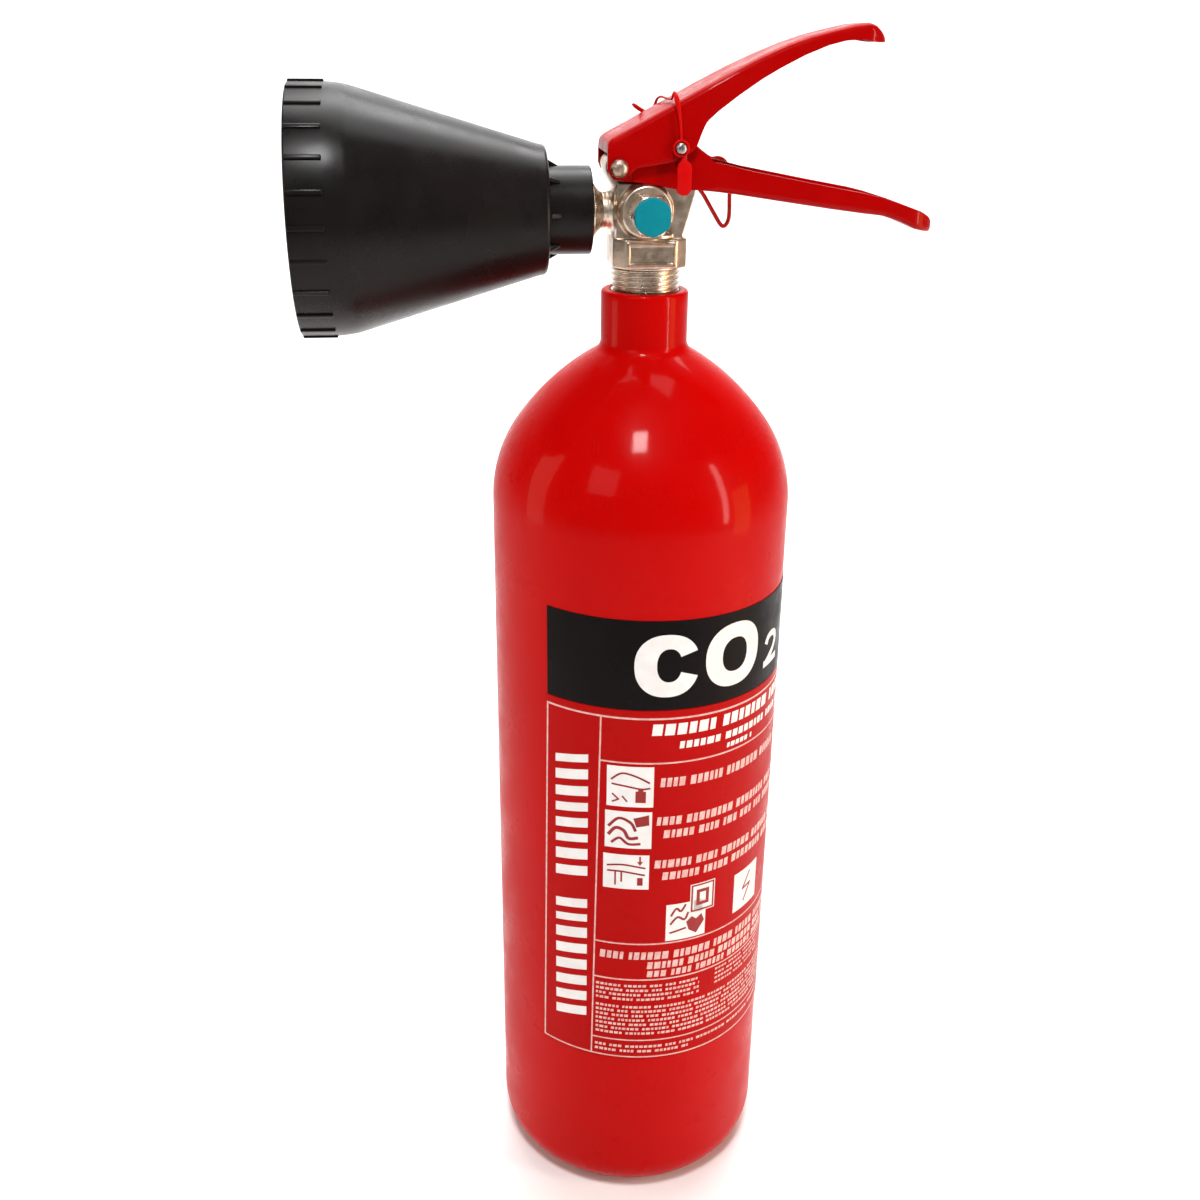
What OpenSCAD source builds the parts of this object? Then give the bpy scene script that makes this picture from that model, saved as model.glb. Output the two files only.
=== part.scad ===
// Portable carbon dioxide fire extinguisher, 2 kg size.
// Seamless steel cylinder, squeeze-grip valve, short discharge horn.
// Origin: centre of the foot ring. +Z up, +X towards the lever tips,
// the horn points along -X and the burst plug faces -Y.

/* [Cylinder] */
// Outside diameter of the steel cylinder
body_d = 114; // [112:1:116]
// Wall thickness of the cylinder
body_wall = 3.4; // [3:0.2:4]
// Height at which the straight wall ends and the shoulder begins
wall_top = 305; // [300:1:306]
// Radius of the rounded bottom corner
foot_round = 18; // [16:1:19]
// Outside radius of the neck
neck_r = 16; // [15:0.5:16]
// Height of the neck's top face
neck_top = 384; // [384:1:385]

/* [Label] */
// Height of the label's lower edge
label_low = 77.2; // [70:0.2:80]
// Height of the join between the panel and the black band
label_mid = 238.4; // [236:0.2:240]
// Height of the black band's top edge
label_high = 276.5; // [270:0.5:280]
// Start angle of the label about the cylinder
label_start = -135; // [-140:1:-130]
// Angle that the label covers
label_span = 127; // [120:1:135]
// Lean of the label out of level
label_lean = 2.1; // [0:0.1:2.5]

/* [Valve] */
// Height of the outlet's axis
out_z = 411.8; // [411.4:0.2:412]
// Radius of the threaded stem in the neck
stem_r = 12.45; // [12.4:0.01:12.5]
// Pitch of the stem's thread
thread_pitch = 2; // [2:0.1:2.2]
// Width across the flats of the spanner block
block_w = 26.4; // [26:0.2:27]
// Radius of the valve rod
rod_r = 2.4; // [2.3:0.05:2.4]

/* [Levers] */
// Half width of the operating lever at its pivot
lever_y = 14; // [14:0.1:14.1]
// Half width of the carrying handle
handle_y = 11.6; // [11.4:0.1:11.7]
// Thickness of the pressed sheet
sheet_t = 1.4; // [1.2:0.1:1.5]
// Radius of the pivot pin
pivot_r = 2.5; // [2.4:0.05:2.5]
// Radius of the safety pin
safety_r = 1.9; // [1.8:0.05:1.9]

/* [Horn] */
// Radius of the collar that grips the outlet
collar_r = 15.2; // [15:0.1:15.5]
// Number of ribs round the rim
rim_ribs = 24; // [18:1:26]
// Distance of the horn's mouth from the cylinder's axis
mouth_s = 123; // [121:0.5:123]

/* [Hidden] */
function r2(x) = round(x * 100) / 100;
body_r = body_d / 2;
eps = 0.01;
// shoulder: two arcs that run into a fillet at the neck
arc1_r = 51.3;
arc1_a = 35.3;
arc2_r = 96.3;
fillet_r = 4.5;
c1 = [body_r - arc1_r, wall_top];
e1 = [c1[0] + arc1_r * cos(arc1_a), c1[1] + arc1_r * sin(arc1_a)];
c2 = [e1[0] - arc2_r * cos(arc1_a), e1[1] - arc2_r * sin(arc1_a)];
fil_x = neck_r + fillet_r;
fil_dz = sqrt(pow(arc2_r + fillet_r, 2) - pow(fil_x - c2[0], 2));
fil_z = r2(c2[1] + fil_dz);
fil_a = atan2(fil_dz, fil_x - c2[0]);
dish_h = 7;
dish_r = 30;
dish_R = (dish_r * dish_r + dish_h * dish_h) / (2 * dish_h);
neck_bore = 12.55;
// valve
deck_z = 421.9;
seat_z = 397.5;
boss_x = -2;
boss_z = 412.6;
// pivot of the operating lever and place of the safety pin
piv = [-12, 427.3];
pin = [9.1, 433.9];
pin_low = [10.0, 429.2];
ring_y = 18.2;
rod_top = 441.5;

red = [0.80, 0.02, 0.02];
metal = [0.72, 0.68, 0.60];
brass = [0.72, 0.58, 0.34];
steel = [0.62, 0.62, 0.62];
black = [0.05, 0.05, 0.055];
teal = [0.0, 0.53, 0.58];

$fn = 96;

// extrude a profile drawn in X and Z, centred on Y
module xz(w) {
    translate([0, w / 2, 0]) rotate([90, 0, 0]) linear_extrude(w) children();
}
// a rod along Y from y0 to y1 at (x, z)
module yrod(x, z, r, y0, y1) {
    translate([x, y1, z]) rotate([90, 0, 0]) cylinder(r = r, h = y1 - y0);
}
// local frame of the outlet: local Z runs along -X, local X runs up
module outlet() {
    translate([0, 0, out_z]) rotate([0, -90, 0]) children();
}
// points of a smooth curve through a list of points, n steps to each span
function spline(c, n, closed) = let(m = len(c), last = closed ? m - 1 : m - 2) concat(
    [for (i = [0 : last]) for (k = [0 : n - 1])
        let(t = k / n,
            p0 = closed ? c[(i + m - 1) % m] : c[max(i - 1, 0)], p1 = c[i],
            p2 = c[(i + 1) % m], p3 = closed ? c[(i + 2) % m] : c[min(i + 2, m - 1)])
        0.5 * (2 * p1 + (p2 - p0) * t + (2 * p0 - 5 * p1 + 4 * p2 - p3) * t * t
            + (3 * p1 - p0 - 3 * p2 + p3) * t * t * t)],
    closed ? [] : [c[m - 1]]);
function unit(v) = v / norm(v);
// round wire swept along points; ref is a direction that the curve never takes
module wire(p, r, ref, closed, sides = 8) {
    m = len(p);
    pts = [for (i = [0 : m - 1])
        let(a = closed ? p[(i + m - 1) % m] : p[max(i - 1, 0)], b = closed ? p[(i + 1) % m] : p[min(i + 1, m - 1)],
            t = unit(b - a), s = unit(cross(ref, t)), u = cross(t, s))
        for (j = [0 : sides - 1]) let(w = 360 * j / sides) p[i] + r * (cos(w) * s + sin(w) * u)];
    skin = [for (i = [0 : closed ? m - 1 : m - 2]) for (j = [0 : sides - 1])
        let(k = (j + 1) % sides, n = (i + 1) % m)
        [i * sides + j, n * sides + j, n * sides + k, i * sides + k]];
    caps = closed ? [] : [[for (j = [0 : sides - 1]) j], [for (j = [0 : sides - 1]) m * sides - 1 - j]];
    polyhedron(points = pts, faces = concat(skin, caps), convexity = 8);
}

// ---------- cylinder ----------
// half section of the vessel, moved inwards by w
module half_section(w) {
    zb = foot_round;
    ze = r2(c1[1] + (arc1_r - w) * sin(arc1_a));
    zt = r2(c2[1] + (arc2_r - w) * sin(fil_a));
    translate([0, w]) square([body_r - foot_round, foot_round - w]);
    intersection() {
        translate([body_r - foot_round, foot_round]) circle(r = foot_round - w);
        translate([0, 0]) square([body_r, foot_round]);
    }
    translate([0, zb]) square([body_r - w, wall_top - zb]);
    intersection() {
        translate(c1) circle(r = arc1_r - w);
        translate([0, wall_top]) square([body_r, ze - wall_top]);
    }
    intersection() {
        translate(c2) circle(r = arc2_r - w);
        translate([0, ze]) square([body_r, zt - ze]);
    }
    difference() {
        translate([0, zt]) square([fil_x, fil_z - zt]);
        translate([fil_x, fil_z]) circle(r = fillet_r + w);
    }
    translate([0, fil_z]) square([neck_r - w, neck_top - fil_z]);
}
module cylinder_shell() {
    color(red) rotate_extrude() difference() {
        half_section(0);
        difference() {
            half_section(body_wall);
            translate([0, dish_h - dish_R]) circle(r = dish_R + body_wall);
        }
        translate([0, dish_h - dish_R]) circle(r = dish_R);
        translate([0, 355]) square([neck_bore, 40]);
        // small chamfers at the mouth of the neck
        polygon([[neck_bore, neck_top - 0.8], [neck_bore + 0.8, neck_top], [neck_bore, neck_top + 1]]);
        polygon([[neck_r - 1, neck_top], [neck_r, neck_top - 1], [neck_r + 1, neck_top + 1]]);
    }
}
// thin wrapped sheet between two heights
module wrap(z0, z1) {
    intersection() {
        rotate([0, 0, label_start])
            rotate_extrude(angle = label_span)
                translate([body_r + 0.05, z0 - 8]) square([0.2, z1 - z0 + 16]);
        rotate([0, 0, -9]) rotate([0, label_lean, 0])
            translate([-90, -90, z0]) cube([180, 180, z1 - z0]);
    }
}
module label_panel() { color([0.78, 0.04, 0.04]) wrap(label_low, label_mid - 0.1); }
module label_band() { color(black) wrap(label_mid + 0.1, label_high); }

// ---------- valve ----------
module thread_section() {
    // crests and roots of the visible turns
    n = 4;
    z0 = neck_top + 0.4;
    for (i = [0 : n - 1])
        polygon([[11, z0 + i * thread_pitch], [11.5, z0 + i * thread_pitch + 0.1],
            [12.5, z0 + i * thread_pitch + 0.8], [12.5, z0 + i * thread_pitch + 1.1],
            [11.5, z0 + i * thread_pitch + 1.8], [11, z0 + i * thread_pitch + 1.9]]);
}
module valve_body() {
    h = block_w / 2;
    c = 4;
    color(metal) difference() {
        union() {
            translate([0, 0, 366]) cylinder(r = stem_r, h = neck_top + 0.3 - 366);
            translate([0, 0, 380]) cylinder(r = 11.3, h = 14);
            rotate_extrude() thread_section();
            translate([0, 0, 392.4]) cylinder(r = 12.2, h = 1);
            // spanner block
            translate([0, 0, 393]) linear_extrude(10)
                polygon([[-h, -h + c], [-h + c, -h], [h - c, -h], [h, -h + c],
                    [h, h - c], [h - c, h], [-h + c, h], [-h, h - c]]);
            // blank framed panel on the block's front
            difference() {
                translate([-8.6, -h - 0.5, 394]) cube([17.2, 1, 8]);
                translate([-7.8, -h - 1, 394.8]) cube([15.6, 1, 6.4]);
            }
            translate([0, 0, 402.5]) cylinder(r = 12.6, h = 2);
            // upper body
            xz(19.2) polygon([[-12, 402.9], [-12, deck_z], [15.6, deck_z], [15.9, 418.5],
                [11.9, 404.4], [11.9, 402.9]]);
            translate([0, 0, 403]) cylinder(r = 11, h = 12);
            // collar under the gland nut
            translate([0, 0, deck_z - 1]) cylinder(r = 6.4, h = 2.6);
            // pivot lug
            xz(16) {
                polygon([[-12, 419], [-15.4, 424.8], [-15.9, 427.3], [-8.1, 427.3], [-8.1, 419]]);
                translate(piv) circle(r = 3.9);
            }
            // outlet
            outlet() cylinder(r = 6.3, h = 16.4);
            // burst plug boss
            yrod(boss_x, boss_z, 8.7, -14.4, -4);
            translate([boss_x, -14.4, boss_z]) rotate([90, 0, 0]) cylinder(r1 = 8.7, r2 = 8.1, h = 0.6);
        }
        // chamber for poppet and spring
        translate([0, 0, 365]) cylinder(r = 7, h = seat_z - 365);
        // seat bore, outlet chamber, gland bore
        translate([0, 0, 390]) cylinder(r = 3.2, h = 20);
        translate([0, 0, 401]) cylinder(r = 5.05, h = 24);
        // outlet passage and socket of the adapter
        outlet() cylinder(r = 3, h = 20);
        outlet() translate([0, 0, 9]) cylinder(r = 4.55, h = 10);
        // burst plug socket and its drilling down to the chamber
        yrod(boss_x, boss_z, 5.05, -16, -7.2);
        translate([boss_x, -7.8, 390]) cylinder(r = 1.2, h = boss_z - 390);
        // pivot
        yrod(piv[0], piv[1], pivot_r + 0.05, -20, 20);
    }
}
module dip_tube() {
    color([0.75, 0.75, 0.76]) difference() {
        translate([0, 0, 14]) cylinder(r = 4, h = 357);
        translate([0, 0, 10]) cylinder(r = 3, h = 370);
        // slanted foot
        translate([-10, -6, 8]) rotate([0, 20, 0]) cube([30, 12, 9]);
    }
}
module dip_tube_adapter() {
    color(brass) difference() {
        union() {
            translate([0, 0, 366.4]) cylinder(r = 6.94, h = 7.1);
            translate([0, 0, 362.4]) cylinder(r = 9, h = 3.5, $fn = 6);
            translate([0, 0, 365.5]) cylinder(r = 6.4, h = 1.2);
        }
        translate([0, 0, 360]) cylinder(r = 4.05, h = 11.2);
        translate([0, 0, 360]) cylinder(r = 3, h = 20);
    }
}
module valve_spring() {
    turns = 5;
    steps = 80;
    color(steel) wire([for (i = [0 : steps]) let(a = 360 * turns * i / steps)
        [5.2 * cos(a), 5.2 * sin(a), 374.3 + 13.4 * i / steps]], 0.55, [0, 0, 1], false);
}
module poppet() {
    color(brass) difference() {
        union() {
            translate([0, 0, 388.4]) cylinder(r = 6.3, h = 4.4);
            translate([0, 0, 378.2]) cylinder(r = 2.7, h = 11);
            translate([0, 0, 392.5]) cylinder(r = 5.4, h = 1.6);
        }
        translate([0, 0, 389]) cylinder(r = 1.8, h = 10);
    }
}
module poppet_seal() {
    color([0.9, 0.9, 0.86]) difference() {
        translate([0, 0, 394.2]) cylinder(r = 5.2, h = 3.1);
        translate([0, 0, 394]) cylinder(r = 1.85, h = 4);
    }
}
module valve_rod() {
    color(steel) union() {
        translate([0, 0, 389.2]) cylinder(r = 1.75, h = 9);
        translate([0, 0, 397.9]) cylinder(r = rod_r, h = rod_top - rod_r - 397.9);
        translate([0, 0, rod_top - rod_r]) sphere(r = rod_r);
    }
}
module rod_o_ring() {
    color(black) rotate_extrude() translate([2.98, 419]) circle(r = 0.52, $fn = 32);
}
module gland_nut() {
    color(brass) difference() {
        union() {
            translate([0, 0, 415.5]) cylinder(r = 5, h = 9);
            // flats face the pivot lug
            translate([0, 0, 423.7]) rotate([0, 0, 30]) cylinder(r = 7 / cos(30), h = 5, $fn = 6);
            translate([0, 0, 428.6]) cylinder(r = 5.6, h = 0.9);
        }
        translate([0, 0, 410]) cylinder(r = rod_r + 0.05, h = 24);
        translate([0, 0, 417.9]) cylinder(r = 3.55, h = 2.2);
    }
}
module burst_disc() {
    color(steel) yrod(boss_x, boss_z, 4.8, -7.55, -7.25);
}
module burst_washer() {
    color([0.72, 0.42, 0.26]) difference() {
        yrod(boss_x, boss_z, 4.8, -8.45, -7.65);
        yrod(boss_x, boss_z, 2.4, -9, -7);
    }
}
module burst_plug() {
    color(metal) difference() {
        union() {
            yrod(boss_x, boss_z, 5, -15.2, -8.55);
            // corners of the hexagon point along X
            translate([boss_x, -15.1, boss_z]) rotate([90, 0, 0]) cylinder(r = 6.5 / cos(30), h = 11.2, $fn = 6);
        }
        yrod(boss_x, boss_z, 2, -24, -8);
        for (a = [0, 90]) translate([boss_x, -20, boss_z]) rotate([0, a, 0])
            cylinder(r = 1.1, h = 20, center = true);
        // front chamfer of the hexagon
        translate([boss_x, -26.3, boss_z]) rotate([90, 0, 0]) difference() {
            translate([0, 0, -1.4]) cylinder(r = 12, h = 3);
            translate([0, 0, -1.5]) cylinder(r1 = 8, r2 = 5.8, h = 2.3);
        }
    }
}
module burst_plug_cap() {
    color(teal) union() {
        yrod(boss_x, boss_z, 6.4, -27.6, -26.4);
        translate([boss_x, -27.5, boss_z]) rotate([90, 0, 0]) cylinder(r1 = 6.4, r2 = 6, h = 0.5);
    }
}
module outlet_adapter() {
    color(metal) outlet() difference() {
        rotate_extrude() polygon([[0, 9.2], [4.5, 9.2], [4.5, 16.5], [6.3, 16.5], [6.9, 17.4], [9.4, 19.4],
            [9.4, 20.2], [6, 20.2], [6, 23], [4.9, 23], [4.9, 24.4], [6, 24.4], [6, 31.4], [5, 31.4],
            [5, 32.3], [6, 32.3], [6, 33.4], [4, 33.4], [4, 40], [0, 40]]);
        translate([0, 0, 5]) cylinder(r = 2.2, h = 40);
    }
}
module outlet_o_ring() {
    color(black) outlet() rotate_extrude() translate([5.46, 23.7]) circle(r = 0.52, $fn = 32);
}

// ---------- levers ----------
// plan of a lever: a tapering strip with a round nose, moved inwards by t
module plan(y0, y1, x1, nose_x, nose_r, t) {
    translate([0, 0]) polygon([[-30, -y0 + t], [20, -y0 + t], [x1, -y1 + t], [nose_x, -nose_r + t],
        [nose_x, nose_r - t], [x1, y1 - t], [20, y0 - t], [-30, y0 - t]]);
    translate([nose_x, 0]) circle(r = nose_r - t);
}
module lever_plan(t) { plan(lever_y, 10.8, 46, 73.1, 9.2, t); }
module handle_plan(t) { plan(handle_y, handle_y, 60, 93.5, handle_y, t); }

lever_top = [[-16, 435.6], [-14.6, 437], [-5, 441.8], [6.7, 448], [16.8, 453.4], [28.5, 459.4], [37, 463.4],
    [46.5, 467.3], [54, 469.8], [61, 471.6], [69.5, 473.5], [74.6, 474.2], [77.3, 473.3], [79.6, 471.6], [82.3, 469]];
lever_under = [[81.9, 467.9], [78, 467.8], [74.6, 468.4], [71.5, 468.8], [66, 468.3], [60, 466.8], [52, 463.7],
    [44, 459.8], [37, 456], [29, 450.9], [22, 445.9], [18, 442.4], [16.6, 439.2], [14.6, 433.8], [11.4, 431.5],
    [8, 429.6], [1, 428.3], [-6, 427.3], [-7.8, 425.4], [-9.6, 423.9], [-13.2, 423.3], [-15.2, 425], [-16, 427]];
function drop(list, dz) = [for (p = list) [p[0], p[1] - dz]];
function flip(list) = [for (i = [len(list) - 1 : -1 : 0]) list[i]];

module operating_lever() {
    color(red) difference() {
        union() {
            // side walls and the turned-down nose
            intersection() {
                xz(40) polygon(concat(lever_top, lever_under));
                translate([0, 0, 400]) linear_extrude(90) difference() {
                    lever_plan(0);
                    lever_plan(sheet_t);
                }
            }
            // top web
            intersection() {
                xz(40) polygon(concat(lever_top, flip(drop(lever_top, sheet_t + 0.4))));
                translate([0, 0, 400]) linear_extrude(90) lever_plan(0.2);
            }
        }
        yrod(piv[0], piv[1], pivot_r + 0.06, -20, 20);
        yrod(pin[0], pin[1], safety_r + 0.08, -20, 20);
    }
}

handle_top = [[105.2, 405], [104.2, 407.6], [102, 409.8], [98, 412], [91.6, 414.2], [82.5, 416.9], [76.6, 418.3],
    [58.9, 421.5], [35.7, 425.9], [27, 428], [21.4, 429], [19.6, 431.4], [15.5, 433], [14, 437.6], [4, 437.6], [-1, 432],
    [-10, 431.8], [-13.4, 431], [-15.6, 429.2], [-15.8, 426]];
handle_under = [[-13.6, 423.2], [-6, 422.4], [0, 421.6], [8, 420], [17, 419.6], [30, 418], [42, 416.2], [54, 414.4],
    [65, 412.8], [77, 411.2], [84, 410.4], [91, 408.2], [96, 405.8], [100, 404.8], [104.6, 403.8]];
web_under = [[-7.2, deck_z + 0.05], [16.4, deck_z + 0.05], [18, 419.5], [30, 418], [42, 416.2], [54, 414.4], [65, 412.8],
    [77, 411.2], [84, 410.4], [91, 408.2], [96, 405.8], [100, 404.8], [104.8, 403.8]];

module carrying_handle() {
    color(red) difference() {
        union() {
            intersection() {
                xz(40) polygon(concat(handle_under, handle_top));
                translate([0, 0, 380]) linear_extrude(90) difference() {
                    handle_plan(0);
                    handle_plan(sheet_t);
                }
            }
            intersection() {
                xz(40) polygon(concat(web_under, flip(drop(web_under, -sheet_t - 0.15))));
                translate([0, 0, 380]) linear_extrude(90) handle_plan(0.2);
            }
        }
        yrod(piv[0], piv[1], pivot_r + 0.06, -20, 20);
        // open slot that the safety pin travels in
        for (s = [0 : 0.25 : 1])
            yrod(pin[0] + s * (pin_low[0] - pin[0]), pin[1] + s * (pin_low[1] - pin[1]), safety_r + 0.5, -20, 20);
        // seat round the valve's collar, open towards the pivot
        translate([0, 0, 415]) cylinder(r = 6.6, h = 14);
        translate([-12, -6.6, 415]) cube([12, 13.2, 14]);
    }
}
module pivot_head() {
    intersection() {
        sphere(r = 3.5);
        translate([0, 0, 0.6]) cylinder(r = 3.15, h = 5);
    }
}
module pivot_pin() {
    color([0.66, 0.60, 0.52]) {
        yrod(piv[0], piv[1], pivot_r, -14.6, 14.6);
        translate([piv[0], -13.5, piv[1]]) rotate([90, 0, 0]) pivot_head();
        translate([piv[0], 13.5, piv[1]]) rotate([-90, 0, 0]) pivot_head();
    }
}
// lean of the wire where it passes through the pin's eye
ring_lean = 33;
module eye_axis() {
    translate([pin[0], ring_y, pin[1]]) rotate([0, ring_lean, 0]) children();
}
module safety_pin() {
    color(steel) difference() {
        union() {
            yrod(pin[0], pin[1], safety_r, -17, ring_y - 1.6);
            eye_axis() cylinder(r = 2.7, h = 3.6, center = true);
        }
        eye_axis() cylinder(r = 1.3, h = 12, center = true);
    }
}
ring_path = [[8.1, 432.4], [10.2, 428.6], [16.3, 422.8], [23.1, 416.1], [28, 408.6], [31.7, 403.5], [34, 406],
    [34, 414], [33.6, 421], [32, 426], [29.4, 427.8], [25.6, 427.9], [19, 432.6], [13.6, 436.3], [10.1, 435.4], [9.1, 433.9]];
module pull_ring() {
    color(red) wire(spline([for (p = ring_path) [p[0], ring_y, p[1]]], 3, true), 0.8, [0, 1, 0], true);
}
module seal_flag() {
    color([0.85, 0.02, 0.03]) {
        // flag with the eyelet round the pin's near end
        difference() {
            union() {
                translate([0, -15, 0]) rotate([90, 0, 0]) linear_extrude(1)
                    polygon([[10, 432], [9.4, 430.4], [8.2, 429], [7.9, 427.6], [7.9, 420.2], [8.6, 419], [9.6, 418.4],
                        [11.4, 418.4], [12.4, 419], [13, 420.2], [13, 427.6], [12.6, 428.8], [11, 430.2], [10.8, 432]]);
                yrod(pin[0], pin[1], 3, -16, -15);
            }
            yrod(pin[0], pin[1], 2.15, -18, -14);
        }
    }
}
module seal_strap() {
    color([0.85, 0.02, 0.03])
        wire(spline([[9, -15.5, 437], [8.7, -15.5, 440.5], [8.2, -15.5, 444.2], [7.5, -15.4, 447.8], [6.8, -15, 450.7],
            [6.4, -13.6, 451.8], [6.4, -11.4, 450.9], [6.5, -8.4, 449.5], [6.5, -2, 449.3], [6.3, 5, 449.3],
            [5.9, 11.2, 449.3], [5.2, 14.9, 448.1], [4.4, 16.2, 445.4], [3, 16.3, 443.6], [1.4, 16.3, 443.7],
            [-0.8, 16.4, 444.8], [-3.4, 16.4, 446.5]], 3, false), 0.65, [1, 0.05, 0.02], false);
}

// ---------- horn ----------
module horn() {
    out = [[15.2, 20.5], [15.2, 36.2], [20.9, 36.2], [21.7, 36.5], [22.2, 37.3], [22.4, 38.4], [22.8, 40],
        [41.6, 103.4], [42.1, 106.4], [42.4, 109.4], [42.5, 112], [42.5, mouth_s]];
    inn = [[40.2, mouth_s], [40.2, 111], [39.6, 107.4], [38.9, 104], [19.9, 41], [19, 39.2], [17.6, 38.2],
        [9.5, 38.2], [9.5, 21.1], [8, 21.1], [8, 20.5]];
    color(black) outlet() {
        rotate_extrude() polygon(concat(out, inn));
        for (i = [0 : rim_ribs - 1]) rotate([0, 0, i * 360 / rim_ribs])
            translate([41.9, -0.8, 110.6]) cube([1.35, 1.6, mouth_s - 110.6 - 0.1]);
        for (i = [0 : 7]) rotate([0, 0, i * 45])
            translate([14.4, -0.8, 0]) rotate([-90, 0, 0]) linear_extrude(1.6)
                polygon([[0, -32], [0, -36.8], [2.8, -36.8], [2.8, -35.6], [0.9, -32]]);
    }
}
module horn_insert() {
    color(brass) outlet() difference() {
        translate([0, 0, 21.3]) cylinder(r = 9.42, h = 9.8);
        translate([0, 0, 20]) cylinder(r = 6.06, h = 20);
    }
}
module insert_clip() {
    color(steel) outlet() difference() {
        translate([0, 0, 31.5]) cylinder(r = 7.9, h = 0.7);
        translate([0, 0, 31]) cylinder(r = 5.08, h = 2);
        translate([0, -3.2, 31]) cube([12, 6.4, 2]);
    }
}
module horn_nozzle() {
    color(brass) outlet() difference() {
        union() {
            translate([0, 0, 33.6]) cylinder(r = 5.6, h = 10.4);
            translate([0, 0, 43.9]) cylinder(r1 = 5.6, r2 = 4.6, h = 1.6);
        }
        translate([0, 0, 33]) cylinder(r = 4.06, h = 7.4);
        translate([0, 0, 40]) cylinder(r = 3, h = 3.4);
        for (i = [0 : 2]) rotate([0, 0, i * 60]) translate([0, 0, 42]) rotate([90, 0, 0])
            cylinder(r = 1, h = 14, center = true);
    }
}

cylinder_shell();
label_panel();
label_band();
valve_body();
dip_tube();
dip_tube_adapter();
valve_spring();
poppet();
poppet_seal();
valve_rod();
rod_o_ring();
gland_nut();
burst_disc();
burst_washer();
burst_plug();
burst_plug_cap();
outlet_adapter();
outlet_o_ring();
operating_lever();
carrying_handle();
pivot_pin();
safety_pin();
pull_ring();
seal_flag();
seal_strap();
horn();
horn_insert();
insert_clip();
horn_nozzle();
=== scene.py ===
import bpy
import bmesh
import math
import random
from mathutils import Matrix, Vector, noise


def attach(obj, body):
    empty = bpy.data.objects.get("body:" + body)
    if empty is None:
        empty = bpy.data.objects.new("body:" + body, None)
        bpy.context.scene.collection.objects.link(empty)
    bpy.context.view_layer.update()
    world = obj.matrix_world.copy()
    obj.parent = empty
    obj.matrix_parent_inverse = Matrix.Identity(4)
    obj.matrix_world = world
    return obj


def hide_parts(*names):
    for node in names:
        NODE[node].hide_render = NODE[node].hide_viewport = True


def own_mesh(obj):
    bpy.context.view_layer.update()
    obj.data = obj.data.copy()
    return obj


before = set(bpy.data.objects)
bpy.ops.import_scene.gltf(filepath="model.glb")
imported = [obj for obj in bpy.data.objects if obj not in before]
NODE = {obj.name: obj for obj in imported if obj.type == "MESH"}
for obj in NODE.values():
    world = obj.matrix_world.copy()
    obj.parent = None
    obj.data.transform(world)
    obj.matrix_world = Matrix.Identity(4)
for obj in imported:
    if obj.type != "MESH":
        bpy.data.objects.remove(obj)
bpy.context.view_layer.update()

TAU = 2 * math.pi


# ---------------------------------------------------------------- mesh helpers (all sizes in mm)
def link(name, me):
    o = bpy.data.objects.new(name, me)
    bpy.context.scene.collection.objects.link(o)
    return o


def finish_mesh(name, bm, deg=32):
    bmesh.ops.recalc_face_normals(bm, faces=bm.faces)
    lim = math.radians(deg)
    for f in bm.faces:
        f.smooth = True
    for e in bm.edges:
        e.smooth = not (len(e.link_faces) == 2 and e.calc_face_angle(0) > lim)
    me = bpy.data.meshes.new(name)
    bm.to_mesh(me)
    bm.free()
    return link(name, me)


def build(name, verts, faces, deg=32, weld=True):
    bm = bmesh.new()
    vs = [bm.verts.new((x / 1000, y / 1000, z / 1000)) for x, y, z in verts]
    for f in faces:
        try:
            bm.faces.new([vs[i] for i in f])
        except ValueError:
            pass
    if weld:
        bmesh.ops.remove_doubles(bm, verts=bm.verts, dist=2e-6)
    return finish_mesh(name, bm, deg)


def up(x, y, h):
    return (x, y, h)


def outlet(x, y, h):
    return (-h, y, 411.8 + x)


def front(cx, cz):
    return lambda x, y, h: (cx + x, -h, cz + y)


def spin(name, prof, place=up, n=128, closed=True, deg=32):
    verts, rows, faces = [], [], []
    for r, h in prof:
        if r < 1e-6:
            rows.append([len(verts)])
            verts.append(place(0, 0, h))
        else:
            rows.append([len(verts) + i for i in range(n)])
            verts += [place(r * math.cos(TAU * i / n), r * math.sin(TAU * i / n), h) for i in range(n)]
    m = len(rows)
    for k in range(m if closed else m - 1):
        a, b = rows[k], rows[(k + 1) % m]
        if len(a) == 1 and len(b) == 1:
            continue
        for i in range(n):
            j = (i + 1) % n
            if len(a) == 1:
                faces.append((a[0], b[i], b[j]))
            elif len(b) == 1:
                faces.append((a[i], a[j], b[0]))
            else:
                faces.append((a[i], a[j], b[j], b[i]))
    return build(name, verts, faces, deg)


def rounded(pts, rad, seg=5, closed=True):
    """The polygon with its corners turned into arcs."""
    out, n = [], len(pts)
    rs = rad if isinstance(rad, (list, tuple)) else [rad] * n
    for i in range(n):
        p = Vector(pts[i])
        if rs[i] <= 0 or (not closed and i in (0, n - 1)):
            out.append(tuple(p))
            continue
        a, b = Vector(pts[i - 1]) - p, Vector(pts[(i + 1) % n]) - p
        la, lb = a.length, b.length
        a, b = a / la, b / lb
        ang = a.angle(b)
        if ang > math.radians(175):
            out.append(tuple(p))
            continue
        d = min(rs[i] / math.tan(ang / 2), la * 0.48, lb * 0.48)
        rr = d * math.tan(ang / 2)
        c = p + (a + b).normalized() * (rr / math.sin(ang / 2))
        s, e = p + a * d, p + b * d
        a0 = math.atan2(s.y - c.y, s.x - c.x)
        a1 = math.atan2(e.y - c.y, e.x - c.x)
        da = (a1 - a0 + math.pi) % TAU - math.pi
        out += [(c.x + rr * math.cos(a0 + da * k / seg), c.y + rr * math.sin(a0 + da * k / seg)) for k in range(seg + 1)]
    return out


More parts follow.
